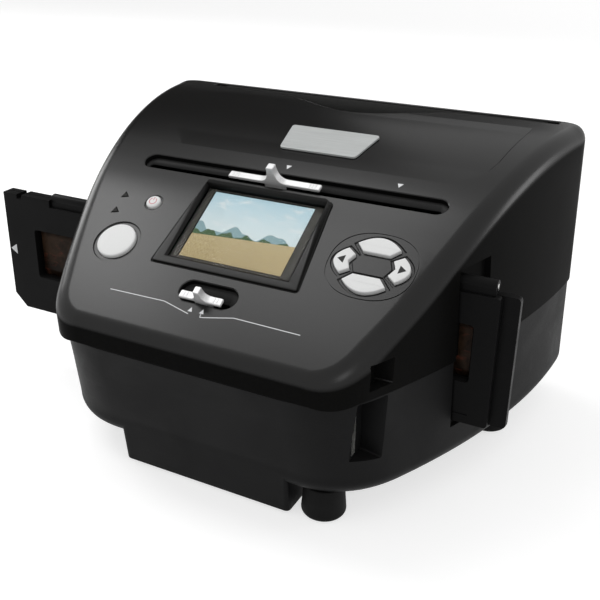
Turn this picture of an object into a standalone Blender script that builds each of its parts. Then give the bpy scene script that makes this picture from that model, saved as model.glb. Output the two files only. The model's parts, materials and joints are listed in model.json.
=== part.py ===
"""Desktop film and photo scanner: a wedge housing with a screen, keys, two mode sliders and a film holder
that stands in a slot right through the body. Every piece is its own object. Metres, +Z up.

The pieces are drawn in the scanner's own frame: x = 0 is its middle plane, y = 0 the middle of the screen,
z = 0 the surface that the feet stand on. An empty moves them all so that the origin lies under the middle
of the whole object.
"""
import math

import bmesh
import bpy
from mathutils import Matrix, Vector

# Clearances and cutting
GAP = 0.0003
SLIDE_GAP = 0.0003
OVERRUN = 0.004
WELD = 0.00001

# Screen plane and profile of the control face
SCREEN_HEIGHT = 0.106
FACE_ANGLE = math.radians(31.25)
BEND_Y = 0.005
BEND_RADIUS = 0.200

# Plan of the housing at the top and at the bottom of its side walls
FRONT_Y = -0.052
REAR_Y = 0.126
TOP_ABOVE_SCREEN = 0.0320
BOTTOM_LEVEL = 0.015
TOP_FRONT_HALF = 0.071
TOP_REAR_HALF = 0.1145
TOP_BULGE = 0.0045
FRONT_TAPER = 0.0085
REAR_FLARE = 0.0025
BOTTOM_BULGE = 0.0145
WALL = 0.0025
SPLIT_BELOW_SCREEN = 0.0430
FRONT_CORNER = 0.014
REAR_CORNER = 0.013
FRONT_RIM = 0.004
SIDE_RIM = 0.008
REAR_RIM = 0.003

# Lower housing: its front wall leans back below the split line
LIP_STEP = 0.0008
CREASE_BELOW_SPLIT = 0.0150
LOWER_CREASE_Y = -0.0475
LOWER_FOOT_LEVEL = 0.026
LOWER_FOOT_Y = -0.0425
LOWER_CORNER = 0.024
LOWER_ROUND = 0.008
SKIRT_HALF = 0.0415
SKIRT_DEPTH = 0.024
SKIRT_LEVEL = 0.0015
SKIRT_FRONT_Y = -0.039
SKIRT_WALL = 0.002
SKIRT_ROUND = 0.0026

# Counts of points
CORNER_STEPS = 6
SIDE_STEPS = 13
RIM_STEPS = 3
HOLLOW_RIM_SHARE = 0.33
ROUND_SEGMENTS = 32
SMALL_SEGMENTS = 16
SHARP_ANGLE = math.radians(40)

# Screen stack, measured out from the control face along its normal
SCREEN_WIDTH = 0.04896
SCREEN_TALL = 0.03672
BEZEL_TOP_HALF = 0.0310
BEZEL_BOTTOM_HALF = 0.0350
BEZEL_TOP_V = 0.0225
BEZEL_BOTTOM_V = -0.0247
BEZEL_LOW_RISE = 0.0006
BEZEL_HIGH_RISE = 0.0028
BEZEL_SEAT = 0.0010
BEZEL_LIP = 0.0006
BEZEL_CORNER = 0.0015
WINDOW_SIDE_MARGIN = 0.0049
WINDOW_TOP_MARGIN = 0.0022
WINDOW_THICKNESS = 0.0010
PANEL_MARGIN = 0.0016
PANEL_THICKNESS = 0.0024
SPACER_SIDE_MARGIN = 0.0055
SPACER_TOP_MARGIN = 0.0020
SPACER_BORDER = 0.0050

# Buttons
SCAN_X = -0.0565
SCAN_V = -0.0186
SCAN_RADIUS = 0.0090
SCAN_RING = 0.0020
POWER_X = -0.0505
POWER_V = 0.0055
POWER_RADIUS = 0.0034
POWER_RING = 0.0009
RING_DEPTH = 0.0006
KEYS_X = 0.0590
KEYS_V = -0.0052
KEY_TIP_X = 0.0091
KEY_TIP_V = 0.0093
KEY_TOP_V = 0.0136
KEY_FOOT_X = 0.0057
KEY_FOOT_V = 0.0057
SIDE_KEY_TIP_X = 0.0117
SIDE_KEY_TIP_V = 0.0062
SIDE_KEY_OUT_X = 0.0160
SIDE_KEY_IN_X = 0.0081
SIDE_KEY_IN_V = 0.0036
SIDE_KEY_WAIST_X = 0.0099
KEYS_BORDER = 0.0017
KEY_RISE = 0.0012
KEY_FLANGE = 0.0010
KEY_FLANGE_DEPTH = 0.0010
KEY_EDGE = 0.0004
KEY_TRAVEL = 0.0008
SWITCH_HALF = 0.0022

# Board behind the face
BOARD_THICKNESS = 0.0016
BOARD_DEPTH = 0.0070
BOARD_HALF_WIDTH = 0.0735
BOARD_LOW_V = -0.0265
BOARD_HIGH_V = 0.0130
BOARD_SCREW_X = 0.0365
BOARD_SCREW_HIGH_V = 0.0100
BOARD_SCREW_LOW_V = -0.0235
BOARD_POST_RADIUS = 0.0028
BOARD_SCREW_RADIUS = 0.0011
BOARD_SCREW_LONG = 0.0050
BOARD_SCREW_HEAD = 0.0021
BOARD_SCREW_HEAD_TALL = 0.0012

# Mode lamps
LAMP_X = -0.0670
LAMP_PHOTO_V = 0.0067
LAMP_FILM_V = -0.0027
LAMP_RADIUS = 0.0019
LAMP_RISE = 0.0003

# Upper slot and its slider, which moves the backlight
UPPER_SLOT_X = 0.0040
UPPER_SLOT_HALF = 0.0740
UPPER_SLOT_Y = 0.0272
UPPER_SLOT_WIDTH = 0.0092
SLIDER_WING_HALF = 0.0225
SLIDER_FORWARD = 0.0019
SLIDER_WING = 0.0016
WING_END_SHARE = 0.33
SLIDER_FIN_TALL = 0.0095
SLIDER_FIN_HALF = 0.0017
SLIDER_FLARE_HALF = 0.0068
SLIDER_DEPTH = 0.0036
SLIDER_LIFT = 0.0003
SLIDER_STEM_HALF = 0.0045
SLIDER_STEM_DEPTH = 0.0030
SLIDER_STEM_LONG = 0.0036
RIDGE_RADIUS = 0.0006
RIDGE_PITCH = 0.0018
RIDGE_COUNT = 3
RIDGE_RISE = 0.0004

# Lower slot and its slider, which moves the close-up lens
LOWER_SLOT_X = -0.0011
LOWER_SLOT_HALF = 0.0134
LOWER_SLOT_V = -0.0345
LOWER_SLOT_WIDTH = 0.0103
FOCUS_REST_X = -0.0023
FOCUS_V = -0.0377
FOCUS_WING_HALF = 0.0100
FOCUS_WING = 0.0015
FOCUS_FIN_TALL = 0.0066
FOCUS_FIN_HALF = 0.0014
FOCUS_FLARE_HALF = 0.0046
FOCUS_DEPTH = 0.0035
FOCUS_LIFT = 0.0003
FOCUS_STEM_HALF = 0.0030
FOCUS_STEM_DEPTH = 0.0030

# Name plate, left bare
PLATE_X = 0.0088
PLATE_Y = 0.0588
PLATE_LONG = 0.0214
PLATE_TOP_HALF = 0.0224
PLATE_BOTTOM_HALF = 0.0188
PLATE_THICKNESS = 0.0010
PLATE_SINK = 0.0004
PLATE_CORNER = 0.0020

# Film holder and the channel that guides it
FRAME_PITCH = 0.0380
FRAME_WIDTH = 0.0360
FRAME_TALL = 0.0245
FRAME_COUNT = 6
FRAMES_LEFT = -0.1290
FILM_BELOW_SCREEN = 0.0391
HOLDER_LEFT = -0.1480
HOLDER_RIGHT = 0.1072
HOLDER_TAB_RIGHT = 0.1140
HOLDER_FRONT_Y = 0.0102
LEAF_THICKNESS = 0.0037
HOLDER_BELOW_AXIS = 0.0324
LEAF_ABOVE_AXIS = 0.0266
HINGE_LEFT = -0.1180
HINGE_RIGHT = 0.1050
HINGE_RADIUS = 0.0026
HINGE_PIN_RADIUS = 0.0010
HINGE_KNUCKLES = 5
TAB_ABOVE_LEAF = 0.0037
NOTCH_LEFT = -0.1390
NOTCH_WIDTH = 0.0030
NOTCH_DEPTH = 0.0022
HOLDER_CHAMFER = 0.0070
HOLDER_CORNER = 0.0015
FILM_THICKNESS = 0.0002
FILM_WIDTH = 0.0350
FILM_POCKET = 0.0008
GATE_HALF = 0.0620
GATE_PLATE = 0.0020
GATE_BELOW_LEAF = 0.0035
GATE_WINDOW_WIDTH = 0.0390
GATE_WINDOW_TALL = 0.0280
GATE_WEB = 0.0030

# Side slots and the finger recess around each
RECESS_FRONT_Y = 0.0080
RECESS_REAR_Y = 0.0300
RECESS_BELOW_HOLDER = 0.0025
RECESS_ABOVE_TAB = 0.0058
RECESS_DEPTH = 0.0030

# Photo tray slot, the thumb dip in its front edge and the guide below it
TRAY_SLOT_X = 0.0060
TRAY_SLOT_HALF = 0.0935
TRAY_SLOT_WIDTH = 0.0052
DIP_X = 0.0030
DIP_HALF = 0.0440
DIP_DEPTH = 0.0130
DIP_DROP = 0.0070
DIP_STEPS = 16
TRAY_HALF = 0.0827
TRAY_VIEW_HALF = 0.0760
GUIDE_HALF = 0.0850
GUIDE_PLATE = 0.0018
GUIDE_FLOOR = 0.0300
GUIDE_VIEW_FLOOR = 0.0340
VIEW_BELOW_TOP = 0.0180

# Camera
CAMERA_BODY_HALF = 0.0120
CAMERA_BODY_TALL = 0.0210
CAMERA_REAR_Y = -0.0285
CAMERA_LONG = 0.0101
CAMERA_EDGE = 0.0010
BARREL_RADIUS = 0.0070
BARREL_LONG = 0.0110
CAMERA_GLASS_RADIUS = 0.0038
CAMERA_GLASS_THICKNESS = 0.0016
CAMERA_GLASS_SET = 0.0010
SENSOR_HALF = 0.0150
SENSOR_BRACKET_HALF = 0.0160
SENSOR_BRACKET_THICKNESS = 0.0016
BRACKET_ABOVE_AXIS = 0.0071
SENSOR_BRACKET_FOOT = 0.0160
FOCUS_PLATE_HALF = 0.0080
FOCUS_PLATE_THICKNESS = 0.0018
FOCUS_PLATE_FRONT_Y = -0.0300
FOCUS_TAB_THICKNESS = 0.0020
FOCUS_TAB_BELOW_AXIS = 0.0069
FOCUS_LENS_RADIUS = 0.0040
FOCUS_LENS_THICKNESS = 0.0030
FOCUS_LENS_EDGE = 0.0015
FOCUS_LENS_WAIST = 0.0026
LENS_GAP = 0.0010

# Backlight and its carrier
LIGHT_HALF = 0.0240
LIGHT_BELOW_AXIS = 0.0169
LIGHT_ABOVE_AXIS = 0.0171
DIFFUSER_THICKNESS = 0.0012
DIFFUSER_BORDER = 0.0020
MAST_HALF = 0.0080
MAST_THICKNESS = 0.0026
TRACK_WALL = 0.0020
TRACK_TALL = 0.0050
TRACK_BASE = 0.0010
TRACK_LEFT = -0.0300
TRACK_RIGHT = 0.0820

# Photo lamps
PHOTO_LAMP_X = 0.0640
PHOTO_LAMP_Y = 0.0560
PHOTO_LAMP_WIDTH = 0.0120
PHOTO_LAMP_THICKNESS = 0.0016
LAMP_BELOW_TOP = 0.0430
PHOTO_LAMP_TURN = math.radians(35)
PHOTO_LAMP_FOOT = 0.0060
PHOTO_LAMP_FOOT_TALL = 0.0020

# Main board and sockets
MAIN_LEFT = 0.0240
MAIN_RIGHT = 0.0625
MAIN_ABOVE_SPLIT = 0.0160
MAIN_TOP_RIGHT = 0.0675
MAIN_CHAMFER_WIDE = 0.0105
MAIN_CHAMFER_TALL = 0.0132
MAIN_FRONT_Y = -0.0313
CARD_BELOW_SPLIT = 0.0278
CARD_TALL = 0.0250
CARD_THICKNESS = 0.0030
CARD_LONG = 0.0240
CARD_SLOT = 0.0022
CARD_SLOT_DEPTH = 0.0180
CARD_BAY_FRONT_Y = -0.0375
CARD_BAY_REAR_Y = -0.0260
CARD_BAY_BELOW_SPLIT = 0.0290
CARD_BAY_WEB = 0.0018
CARD_BAY_FLOOR = 0.0665
BAY_WALL = 0.0021
USB_ABOVE_SPLIT = 0.0060
USB_TALL = 0.0080
USB_THICKNESS = 0.0034
USB_LONG = 0.0090
USB_SHELL = 0.0005
USB_DEPTH = 0.0060
USB_BAY_FRONT_Y = -0.0372
USB_BAY_REAR_Y = -0.0290
USB_BAY_ABOVE_SPLIT = 0.0046
USB_BAY_TALL = 0.0108
USB_BAY_FLOOR = 0.0712
BOARD_RIB_LONG = 0.0060
BOARD_RIB_PITCH = 0.0160
BOARD_RIB_TALL = 0.0040
BOARD_RIB_WALL = 0.0012

# Feet and housing screws
FOOT_RADIUS = 0.0095
FOOT_TOP_RADIUS = 0.0085
FOOT_ROUND = 0.0025
FOOT_SPIGOT_RADIUS = 0.0030
FOOT_FRONT_X = 0.0525
FOOT_FRONT_RIGHT_Y = -0.0285
FOOT_FRONT_LEFT_Y = 0.0020
FOOT_REAR_X = 0.0940
FOOT_REAR_Y = 0.0700
SCREW_FRONT_X = 0.0620
SCREW_FRONT_Y = 0.0400
SCREW_REAR_X = 0.0900
SCREW_REAR_Y = 0.0980
SCREW_RADIUS = 0.0015
SCREW_HEAD_RADIUS = 0.0030
SCREW_HEAD_TALL = 0.0020
SCREW_BITE = 0.0100
SCREW_WEB = 0.0030
WELL_CLEARANCE = 0.0006
POST_WALL = 0.0020
POST_RADIUS = 0.0045

# Widths at the bottom, and heights that follow from the screen's height, with named distances
BOTTOM_FRONT_HALF = TOP_FRONT_HALF - FRONT_TAPER
BOTTOM_REAR_HALF = TOP_REAR_HALF + REAR_FLARE
TOP_LEVEL = SCREEN_HEIGHT + TOP_ABOVE_SCREEN
SPLIT_LEVEL = SCREEN_HEIGHT - SPLIT_BELOW_SCREEN
LOWER_CREASE_LEVEL = SPLIT_LEVEL - CREASE_BELOW_SPLIT
FILM_AXIS_HEIGHT = SCREEN_HEIGHT - FILM_BELOW_SCREEN
HOLDER_LOW = FILM_AXIS_HEIGHT - HOLDER_BELOW_AXIS
LEAF_TOP = FILM_AXIS_HEIGHT + LEAF_ABOVE_AXIS
TAB_TOP = LEAF_TOP + TAB_ABOVE_LEAF
GATE_TOP = LEAF_TOP - GATE_BELOW_LEAF
RECESS_LOW = HOLDER_LOW - RECESS_BELOW_HOLDER
RECESS_TOP = TAB_TOP + RECESS_ABOVE_TAB
LIGHT_LOW = FILM_AXIS_HEIGHT - LIGHT_BELOW_AXIS
LIGHT_HIGH = FILM_AXIS_HEIGHT + LIGHT_ABOVE_AXIS
SENSOR_BRACKET_TOP = FILM_AXIS_HEIGHT + BRACKET_ABOVE_AXIS
FOCUS_TAB_LOW = FILM_AXIS_HEIGHT - FOCUS_TAB_BELOW_AXIS
MAIN_TOP = SPLIT_LEVEL + MAIN_ABOVE_SPLIT
CARD_LOW = SPLIT_LEVEL - CARD_BELOW_SPLIT
CARD_BAY_LOW = SPLIT_LEVEL - CARD_BAY_BELOW_SPLIT
CARD_BAY_TOP = SPLIT_LEVEL - CARD_BAY_WEB
USB_LOW = SPLIT_LEVEL + USB_ABOVE_SPLIT
USB_BAY_LOW = SPLIT_LEVEL + USB_BAY_ABOVE_SPLIT
USB_BAY_TOP = USB_BAY_LOW + USB_BAY_TALL
PHOTO_LAMP_TOP = TOP_LEVEL - LAMP_BELOW_TOP
GUIDE_VIEW_TOP = TOP_LEVEL - VIEW_BELOW_TOP

# Sizes that follow from the ones above
FACE_SIN = math.sin(FACE_ANGLE)
FACE_COS = math.cos(FACE_ANGLE)
NORMAL = Vector((0, -FACE_SIN, FACE_COS))
PLAN_COUNT = CORNER_STEPS * 2 + SIDE_STEPS + 1
HALF_TURN = math.pi / 2
CURB_LEVEL = BOTTOM_LEVEL + LOWER_ROUND
FLOOR = BOTTOM_LEVEL + WALL
FLOOR_SEAT = FLOOR + GAP
UPPER_BASE = SPLIT_LEVEL + GAP
KEY_LOW = -WALL - GAP - KEY_FLANGE_DEPTH
SWITCH_TOP = KEY_LOW - KEY_TRAVEL - GAP
WINDOW_HALF_WIDTH = SCREEN_WIDTH / 2 + WINDOW_SIDE_MARGIN
WINDOW_HALF_TALL = SCREEN_TALL / 2 + WINDOW_TOP_MARGIN
BEZEL_LOW = GAP - BEZEL_SEAT
WINDOW_TOP = BEZEL_LOW - GAP
PANEL_TOP = WINDOW_TOP - WINDOW_THICKNESS - GAP
SPACER_TOP = PANEL_TOP - PANEL_THICKNESS - GAP
LEAF_MEETING_Y = HOLDER_FRONT_Y + LEAF_THICKNESS
HOLDER_REAR_Y = LEAF_MEETING_Y + GAP + LEAF_THICKNESS
HINGE_Y = LEAF_MEETING_Y + GAP / 2
GATE_FRONT_Y = HOLDER_FRONT_Y - SLIDE_GAP - GATE_PLATE
GATE_REAR_Y = HOLDER_REAR_Y + SLIDE_GAP + GATE_PLATE
TRAY_REAR_Y = REAR_Y - LIP_STEP - WALL - GAP
TRAY_FRONT_Y = TRAY_REAR_Y - TRAY_SLOT_WIDTH
DIP_FLOOR = TOP_LEVEL - DIP_DROP
GUIDE_TOP = DIP_FLOOR - WALL - GAP
CAMERA_TOP = FILM_AXIS_HEIGHT + CAMERA_BODY_TALL / 2
CAMERA_LOW = FILM_AXIS_HEIGHT - CAMERA_BODY_TALL / 2
CAMERA_FRONT_Y = CAMERA_REAR_Y + CAMERA_LONG
BARREL_END_Y = CAMERA_FRONT_Y + GAP + BARREL_LONG
SENSOR_REAR_Y = CAMERA_REAR_Y - GAP - BOARD_THICKNESS
FOCUS_PLATE_LOW = CAMERA_TOP + GAP
FOCUS_PLATE_HIGH = FOCUS_PLATE_LOW + FOCUS_PLATE_THICKNESS
FOCUS_TAB_Y = BARREL_END_Y + LENS_GAP
CARD_REAR_Y = MAIN_FRONT_Y - GAP
SLIDER_Y = UPPER_SLOT_Y - SLIDER_FORWARD
WELL_RADIUS = SCREW_HEAD_RADIUS + WELL_CLEARANCE
SCREW_PLACES = [(x * side, y) for x, y in ((SCREW_FRONT_X, SCREW_FRONT_Y), (SCREW_REAR_X, SCREW_REAR_Y))
                for side in (-1, 1)]
FOOT_PLACES = [(-FOOT_FRONT_X, FOOT_FRONT_LEFT_Y), (FOOT_FRONT_X, FOOT_FRONT_RIGHT_Y),
               (-FOOT_REAR_X, FOOT_REAR_Y), (FOOT_REAR_X, FOOT_REAR_Y)]
BOARD_SCREW_PLACES = [(BOARD_SCREW_X * side, v) for v in (BOARD_SCREW_LOW_V, BOARD_SCREW_HIGH_V)
                      for side in (-1, 1)]


def clear_scene():
    """Remove whatever the scene holds."""
    for item in list(bpy.data.objects):
        bpy.data.objects.remove(item, do_unlink=True)


def make_collection(name):
    """Make a collection and link it to the scene."""
    group = bpy.data.collections.new(name)
    bpy.context.scene.collection.children.link(group)
    return group


clear_scene()
PARTS = make_collection("film_negative_scanner")
CUTTERS = make_collection("cutters")
SCANNER = bpy.data.objects.new("scanner", None)
PARTS.objects.link(SCANNER)


def material(name, color, roughness, metallic=0.0, alpha=1.0):
    """A Principled material, made once for each name."""
    if name in bpy.data.materials:
        return bpy.data.materials[name]
    mat = bpy.data.materials.new(name)
    mat.use_nodes = True
    shader = mat.node_tree.nodes["Principled BSDF"]
    shader.inputs["Base Color"].default_value = (*color, 1.0)
    shader.inputs["Roughness"].default_value = roughness
    shader.inputs["Metallic"].default_value = metallic
    shader.inputs["Alpha"].default_value = alpha
    return mat


FINISHES = {
    "satin_black": ((0.035, 0.035, 0.037), 0.42, 0.0, 1.0),
    "matte_black": ((0.022, 0.022, 0.023), 0.62, 0.0, 1.0),
    "bezel_black": ((0.050, 0.050, 0.050), 0.38, 0.0, 1.0),
    "key_white": ((0.86, 0.87, 0.88), 0.22, 0.0, 1.0),
    "slider_silver": ((0.72, 0.72, 0.73), 0.28, 0.6, 1.0),
    "plate_silver": ((0.66, 0.68, 0.72), 0.34, 0.5, 1.0),
    "board_green": ((0.02, 0.16, 0.07), 0.48, 0.0, 1.0),
    "socket_steel": ((0.62, 0.62, 0.60), 0.30, 1.0, 1.0),
    "screw_steel": ((0.48, 0.48, 0.50), 0.34, 1.0, 1.0),
    "foot_rubber": ((0.020, 0.020, 0.020), 0.80, 0.0, 1.0),
    "clear_glass": ((0.80, 0.84, 0.86), 0.06, 0.0, 0.35),
    "screen_picture": ((0.55, 0.66, 0.72), 0.25, 0.0, 1.0),
    "diffuser_white": ((0.90, 0.91, 0.88), 0.50, 0.0, 1.0),
    "film_brown": ((0.16, 0.07, 0.03), 0.20, 0.0, 1.0),
    "lamp_lens": ((0.20, 0.20, 0.20), 0.20, 0.0, 1.0),
}


def place(item, finish=None):
    """Put an object under the scanner's empty: a part when it has a finish, and otherwise a cutter."""
    item.parent = SCANNER
    if finish is None:
        CUTTERS.objects.link(item)
        item.hide_render = True
        item.display_type = "WIRE"
        return item
    PARTS.objects.link(item)
    item.data.materials.clear()
    color, roughness, metallic, alpha = FINISHES[finish]
    item.data.materials.append(material(finish, color, roughness, metallic, alpha))
    return item


def from_bmesh(name, shape, finish=None, smooth=False):
    """Make a placed object out of a bmesh, with its faces turned outwards."""
    bmesh.ops.recalc_face_normals(shape, faces=shape.faces[:])
    mesh = bpy.data.meshes.new(name)
    shape.to_mesh(mesh)
    shape.free()
    if smooth:
        mesh.shade_smooth()
        mesh.set_sharp_from_angle(angle=SHARP_ANGLE)
    return place(bpy.data.objects.new(name, mesh), finish)


def box(name, low, high, finish=None, matrix=None, edge=0):
    """A box between two corners, placed by a matrix where one is given, with its edges rounded by edge."""
    shape = bmesh.new()
    bmesh.ops.create_cube(shape, size=1)
    size = [b - a for a, b in zip(low, high)]
    middle = [(a + b) / 2 for a, b in zip(low, high)]
    bmesh.ops.scale(shape, vec=size, verts=shape.verts[:])
    bmesh.ops.translate(shape, vec=middle, verts=shape.verts[:])
    item = from_bmesh(name, shape, finish)
    if matrix is not None:
        item.matrix_local = matrix
    if edge:
        round_edges(item, edge)
    return item


def round_edges(item, width, segments=2):
    """Round an object's edges."""
    bevel = item.modifiers.new("rounded_edges", "BEVEL")
    bevel.width = width
    bevel.segments = segments
    bevel.limit_method = "ANGLE"


def cylinder(name, start, end, radius, finish=None, segments=SMALL_SEGMENTS):
    """A cylinder from one point to another."""
    start = Vector(start)
    end = Vector(end)
    shape = bmesh.new()
    bmesh.ops.create_cone(shape, cap_ends=True, segments=segments, radius1=radius, radius2=radius,
                          depth=(end - start).length)
    turn = Vector((0, 0, 1)).rotation_difference(end - start).to_matrix().to_4x4()
    bmesh.ops.transform(shape, matrix=Matrix.Translation((start + end) / 2) @ turn, verts=shape.verts[:])
    return from_bmesh(name, shape, finish, smooth=True)


def turned(name, profile, finish, matrix, segments=ROUND_SEGMENTS, ring=False):
    """A turned solid: profile points (radius, height) down its outer side, joined up into a ring if asked."""
    mesh = bpy.data.meshes.new(name)
    points = [(radius, 0, height) for radius, height in profile]
    edges = [(i, i + 1) for i in range(len(points) - 1)]
    if ring:
        edges.append((len(points) - 1, 0))
    mesh.from_pydata(points, edges, [])
    item = place(bpy.data.objects.new(name, mesh), finish)
    item.matrix_local = matrix
    screw = item.modifiers.new("turned", "SCREW")
    screw.steps = segments
    screw.render_steps = segments
    screw.use_merge_vertices = True
    screw.merge_threshold = WELD
    screw.use_smooth_shade = True
    return item


def outline_solid(name, outline, low, high, finish=None, matrix=None, edge=0):
    """A flat outline in x and y filled and extruded from low to high in z, then placed by a matrix."""
    curve = bpy.data.curves.new(name, "CURVE")
    curve.dimensions = "2D"
    curve.fill_mode = "BOTH"
    curve.extrude = (high - low) / 2
    spline = curve.splines.new("POLY")
    spline.points.add(len(outline) - 1)
    for point, (x, y) in zip(spline.points, outline):
        point.co = (x, y, 0, 1)
    spline.use_cyclic_u = True
    drawn = bpy.data.objects.new(name + "_outline", curve)
    CUTTERS.objects.link(drawn)
    graph = bpy.context.evaluated_depsgraph_get()
    mesh = bpy.data.meshes.new_from_object(drawn.evaluated_get(graph))
    bpy.data.objects.remove(drawn, do_unlink=True)
    shape = bmesh.new()
    shape.from_mesh(mesh)
    bmesh.ops.remove_doubles(shape, verts=shape.verts[:], dist=WELD)
    bmesh.ops.translate(shape, vec=(0, 0, (low + high) / 2), verts=shape.verts[:])
    item = from_bmesh(name, shape, finish)
    if matrix is not None:
        item.matrix_local = matrix
    if edge:
        round_edges(item, edge)
    return item


def boolean(item, tool, operation):
    """Cut a tool from an object, or join it to the object."""
    modifier = item.modifiers.new(tool.name, "BOOLEAN")
    modifier.operation = operation
    modifier.solver = "EXACT"
    modifier.object = tool
    return item


def cut(item, *tools):
    """Cut each tool from an object."""
    for tool in tools:
        boolean(item, tool, "DIFFERENCE")
    return item


def join(item, *tools):
    """Join each tool to an object."""
    for tool in tools:
        boolean(item, tool, "UNION")
    return item


def drill(name, frame, radius, low, high, segments=SMALL_SEGMENTS):
    """A round cutter along a frame's own z, from low to high."""
    return cylinder(name, frame @ Vector((0, 0, low)), frame @ Vector((0, 0, high)), radius, None, segments)


def panel(name, outline, front_y, rear_y, finish=None, edge=0):
    """An upright plate from an outline in x and z."""
    return outline_solid(name, outline, -rear_y, -front_y, finish, Matrix.Rotation(HALF_TURN, 4, "X"), edge)


def beam(name, outline, left, right, finish=None):
    """A bar from left to right with a section in y and z."""
    along_x = Matrix(((0, 0, 1, 0), (1, 0, 0, 0), (0, 1, 0, 0), (0, 0, 0, 1)))
    return outline_solid(name, outline, left, right, finish, along_x)


def facing_rear(y):
    """Frame on the film's axis whose z runs towards the rear."""
    return Matrix.Translation((0, y, FILM_AXIS_HEIGHT)) @ Matrix.Rotation(-HALF_TURN, 4, "X")


def circle(x, y, radius, count=ROUND_SEGMENTS):
    """Points of a circle."""
    turns = [2 * math.pi * i / count for i in range(count)]
    return [(x + radius * math.cos(t), y + radius * math.sin(t)) for t in turns]


def stadium(x, y, half, width, count=SMALL_SEGMENTS):
    """Points of a slot with round ends, its whole length twice half."""
    radius = width / 2
    points = []
    for side in (1, -1):
        for i in range(count // 2 + 1):
            turn = -math.pi / 2 + math.pi * i / (count // 2)
            across = side * (half - radius + radius * math.cos(turn))
            points.append((x + across, y + side * radius * math.sin(turn)))
    return points


def rounded(corners, radius, count=4):
    """A polygon's points with each corner rounded by a short curve."""
    points = []
    for i, corner in enumerate(corners):
        here = Vector(corner)
        before = (Vector(corners[i - 1]) - here).normalized() * radius
        after = (Vector(corners[(i + 1) % len(corners)]) - here).normalized() * radius
        for k in range(count + 1):
            t = k / count
            points.append(tuple(here + before * (1 - t) ** 2 + after * t ** 2))
    return points


def grown(points, distance):
    """An outline moved outwards by a distance, for points that run anticlockwise."""
    moved = []
    for i, point in enumerate(points):
        along = Vector(points[(i + 1) % len(points)]) - Vector(points[i - 1])
        out = Vector((along.y, -along.x)).normalized()
        moved.append(tuple(Vector(point) + out * distance))
    return moved


def face_height(y):
    """Height of the control face: a straight slope, then an arc that levels out towards the rear."""
    if y <= BEND_Y:
        return SCREEN_HEIGHT + y * math.tan(FACE_ANGLE)
    start = SCREEN_HEIGHT + BEND_Y * math.tan(FACE_ANGLE)
    slope = max(0, FACE_SIN - (y - BEND_Y) / BEND_RADIUS)
    return start + BEND_RADIUS * (math.sqrt(1 - slope * slope) - FACE_COS)


def face_slope(y):
    """Angle of the control face at a place."""
    if y <= BEND_Y:
        return FACE_ANGLE
    return math.asin(max(0, FACE_SIN - (y - BEND_Y) / BEND_RADIUS))


def on_screen_plane(x=0, v=0, rise=0):
    """Frame on the straight part of the face: x across, v up the slope, z outwards."""
    place_at = Vector((x, v * FACE_COS, SCREEN_HEIGHT + v * FACE_SIN)) + NORMAL * rise
    return Matrix.Translation(place_at) @ Matrix.Rotation(FACE_ANGLE, 4, "X")


def on_face(x, y, rise=0):
    """Frame anywhere on the face, tilted as the face is there."""
    slope = face_slope(y)
    normal = Vector((0, -math.sin(slope), math.cos(slope)))
    return Matrix.Translation(Vector((x, y, face_height(y))) + normal * rise) @ Matrix.Rotation(slope, 4, "X")


def side_half(y, level):
    """Half the housing's width at a place and a level: an arc at the top and one at the bottom, blended."""
    share = (y - FRONT_Y) / (REAR_Y - FRONT_Y)
    arch = 4 * share * (1 - share)
    top = TOP_FRONT_HALF + (TOP_REAR_HALF - TOP_FRONT_HALF) * share + TOP_BULGE * arch
    bottom = BOTTOM_FRONT_HALF + (BOTTOM_REAR_HALF - BOTTOM_FRONT_HALF) * share + BOTTOM_BULGE * arch
    mix = (level - BOTTOM_LEVEL) / (TOP_LEVEL - BOTTOM_LEVEL)
    return bottom + (top - bottom) * mix


def curve_between(start, control, end, count):
    """Points of a quadratic curve, without its last point."""
    points = []
    for i in range(count):
        t = i / count
        points.append(start * (1 - t) ** 2 + control * (2 * t * (1 - t)) + end * t ** 2)
    return points


def plan_side(level, front_y, corner, inset=None):
    """Right-hand outline of the housing at a level, from its front corner to its rear corner.

    The level is one height, or a function that gives a height for each y. Each point may be moved inwards
    by its own inset.
    """
    height = level if callable(level) else (lambda y: level)

    def side(y):
        return Vector((side_half(y, height(y)), y))

    front = curve_between(Vector((side(front_y).x - corner, front_y)), side(front_y),
                          side(front_y + corner), CORNER_STEPS)
    rear_start = REAR_Y - REAR_CORNER
    span = rear_start - front_y - corner
    middle = [side(front_y + corner + span * i / SIDE_STEPS) for i in range(SIDE_STEPS)]
    rear_end = Vector((side(REAR_Y).x - REAR_CORNER, REAR_Y))
    rear = curve_between(side(rear_start), side(REAR_Y), rear_end, CORNER_STEPS)
    points = front + middle + rear + [rear_end]
    if inset is None:
        return points
    moved = []
    for i, point in enumerate(points):
        if i == 0:
            out = Vector((0, -1))
        elif i == len(points) - 1:
            out = Vector((0, 1))
        else:
            along = points[i + 1] - points[i - 1]
            out = Vector((along.y, -along.x)).normalized()
        moved.append(point - out * inset[i])
    return moved


def loft(name, rings, finish=None):
    """A closed solid through rings of right-hand points, each mirrored to the left and capped by rungs."""
    shape = bmesh.new()
    loops = []
    for ring in rings:
        right = [shape.verts.new(point) for point in ring]
        left = [shape.verts.new((-point.x, point.y, point.z)) for point in ring]
        loops.append((right, left))
    count = len(rings[0])
    for (right, left), (right_next, left_next) in zip(loops[:-1], loops[1:]):
        for i in range(count - 1):
            shape.faces.new((right[i], right[i + 1], right_next[i + 1], right_next[i]))
            shape.faces.new((left[i + 1], left[i], left_next[i], left_next[i + 1]))
        shape.faces.new((left[0], right[0], right_next[0], left_next[0]))
        shape.faces.new((right[-1], left[-1], left_next[-1], right_next[-1]))
    for right, left in (loops[0], loops[-1]):
        for i in range(count - 1):
            shape.faces.new((left[i], right[i], right[i + 1], left[i + 1]))
    bmesh.ops.triangulate(shape, faces=shape.faces[:])
    return from_bmesh(name, shape, finish, smooth=True)


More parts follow.
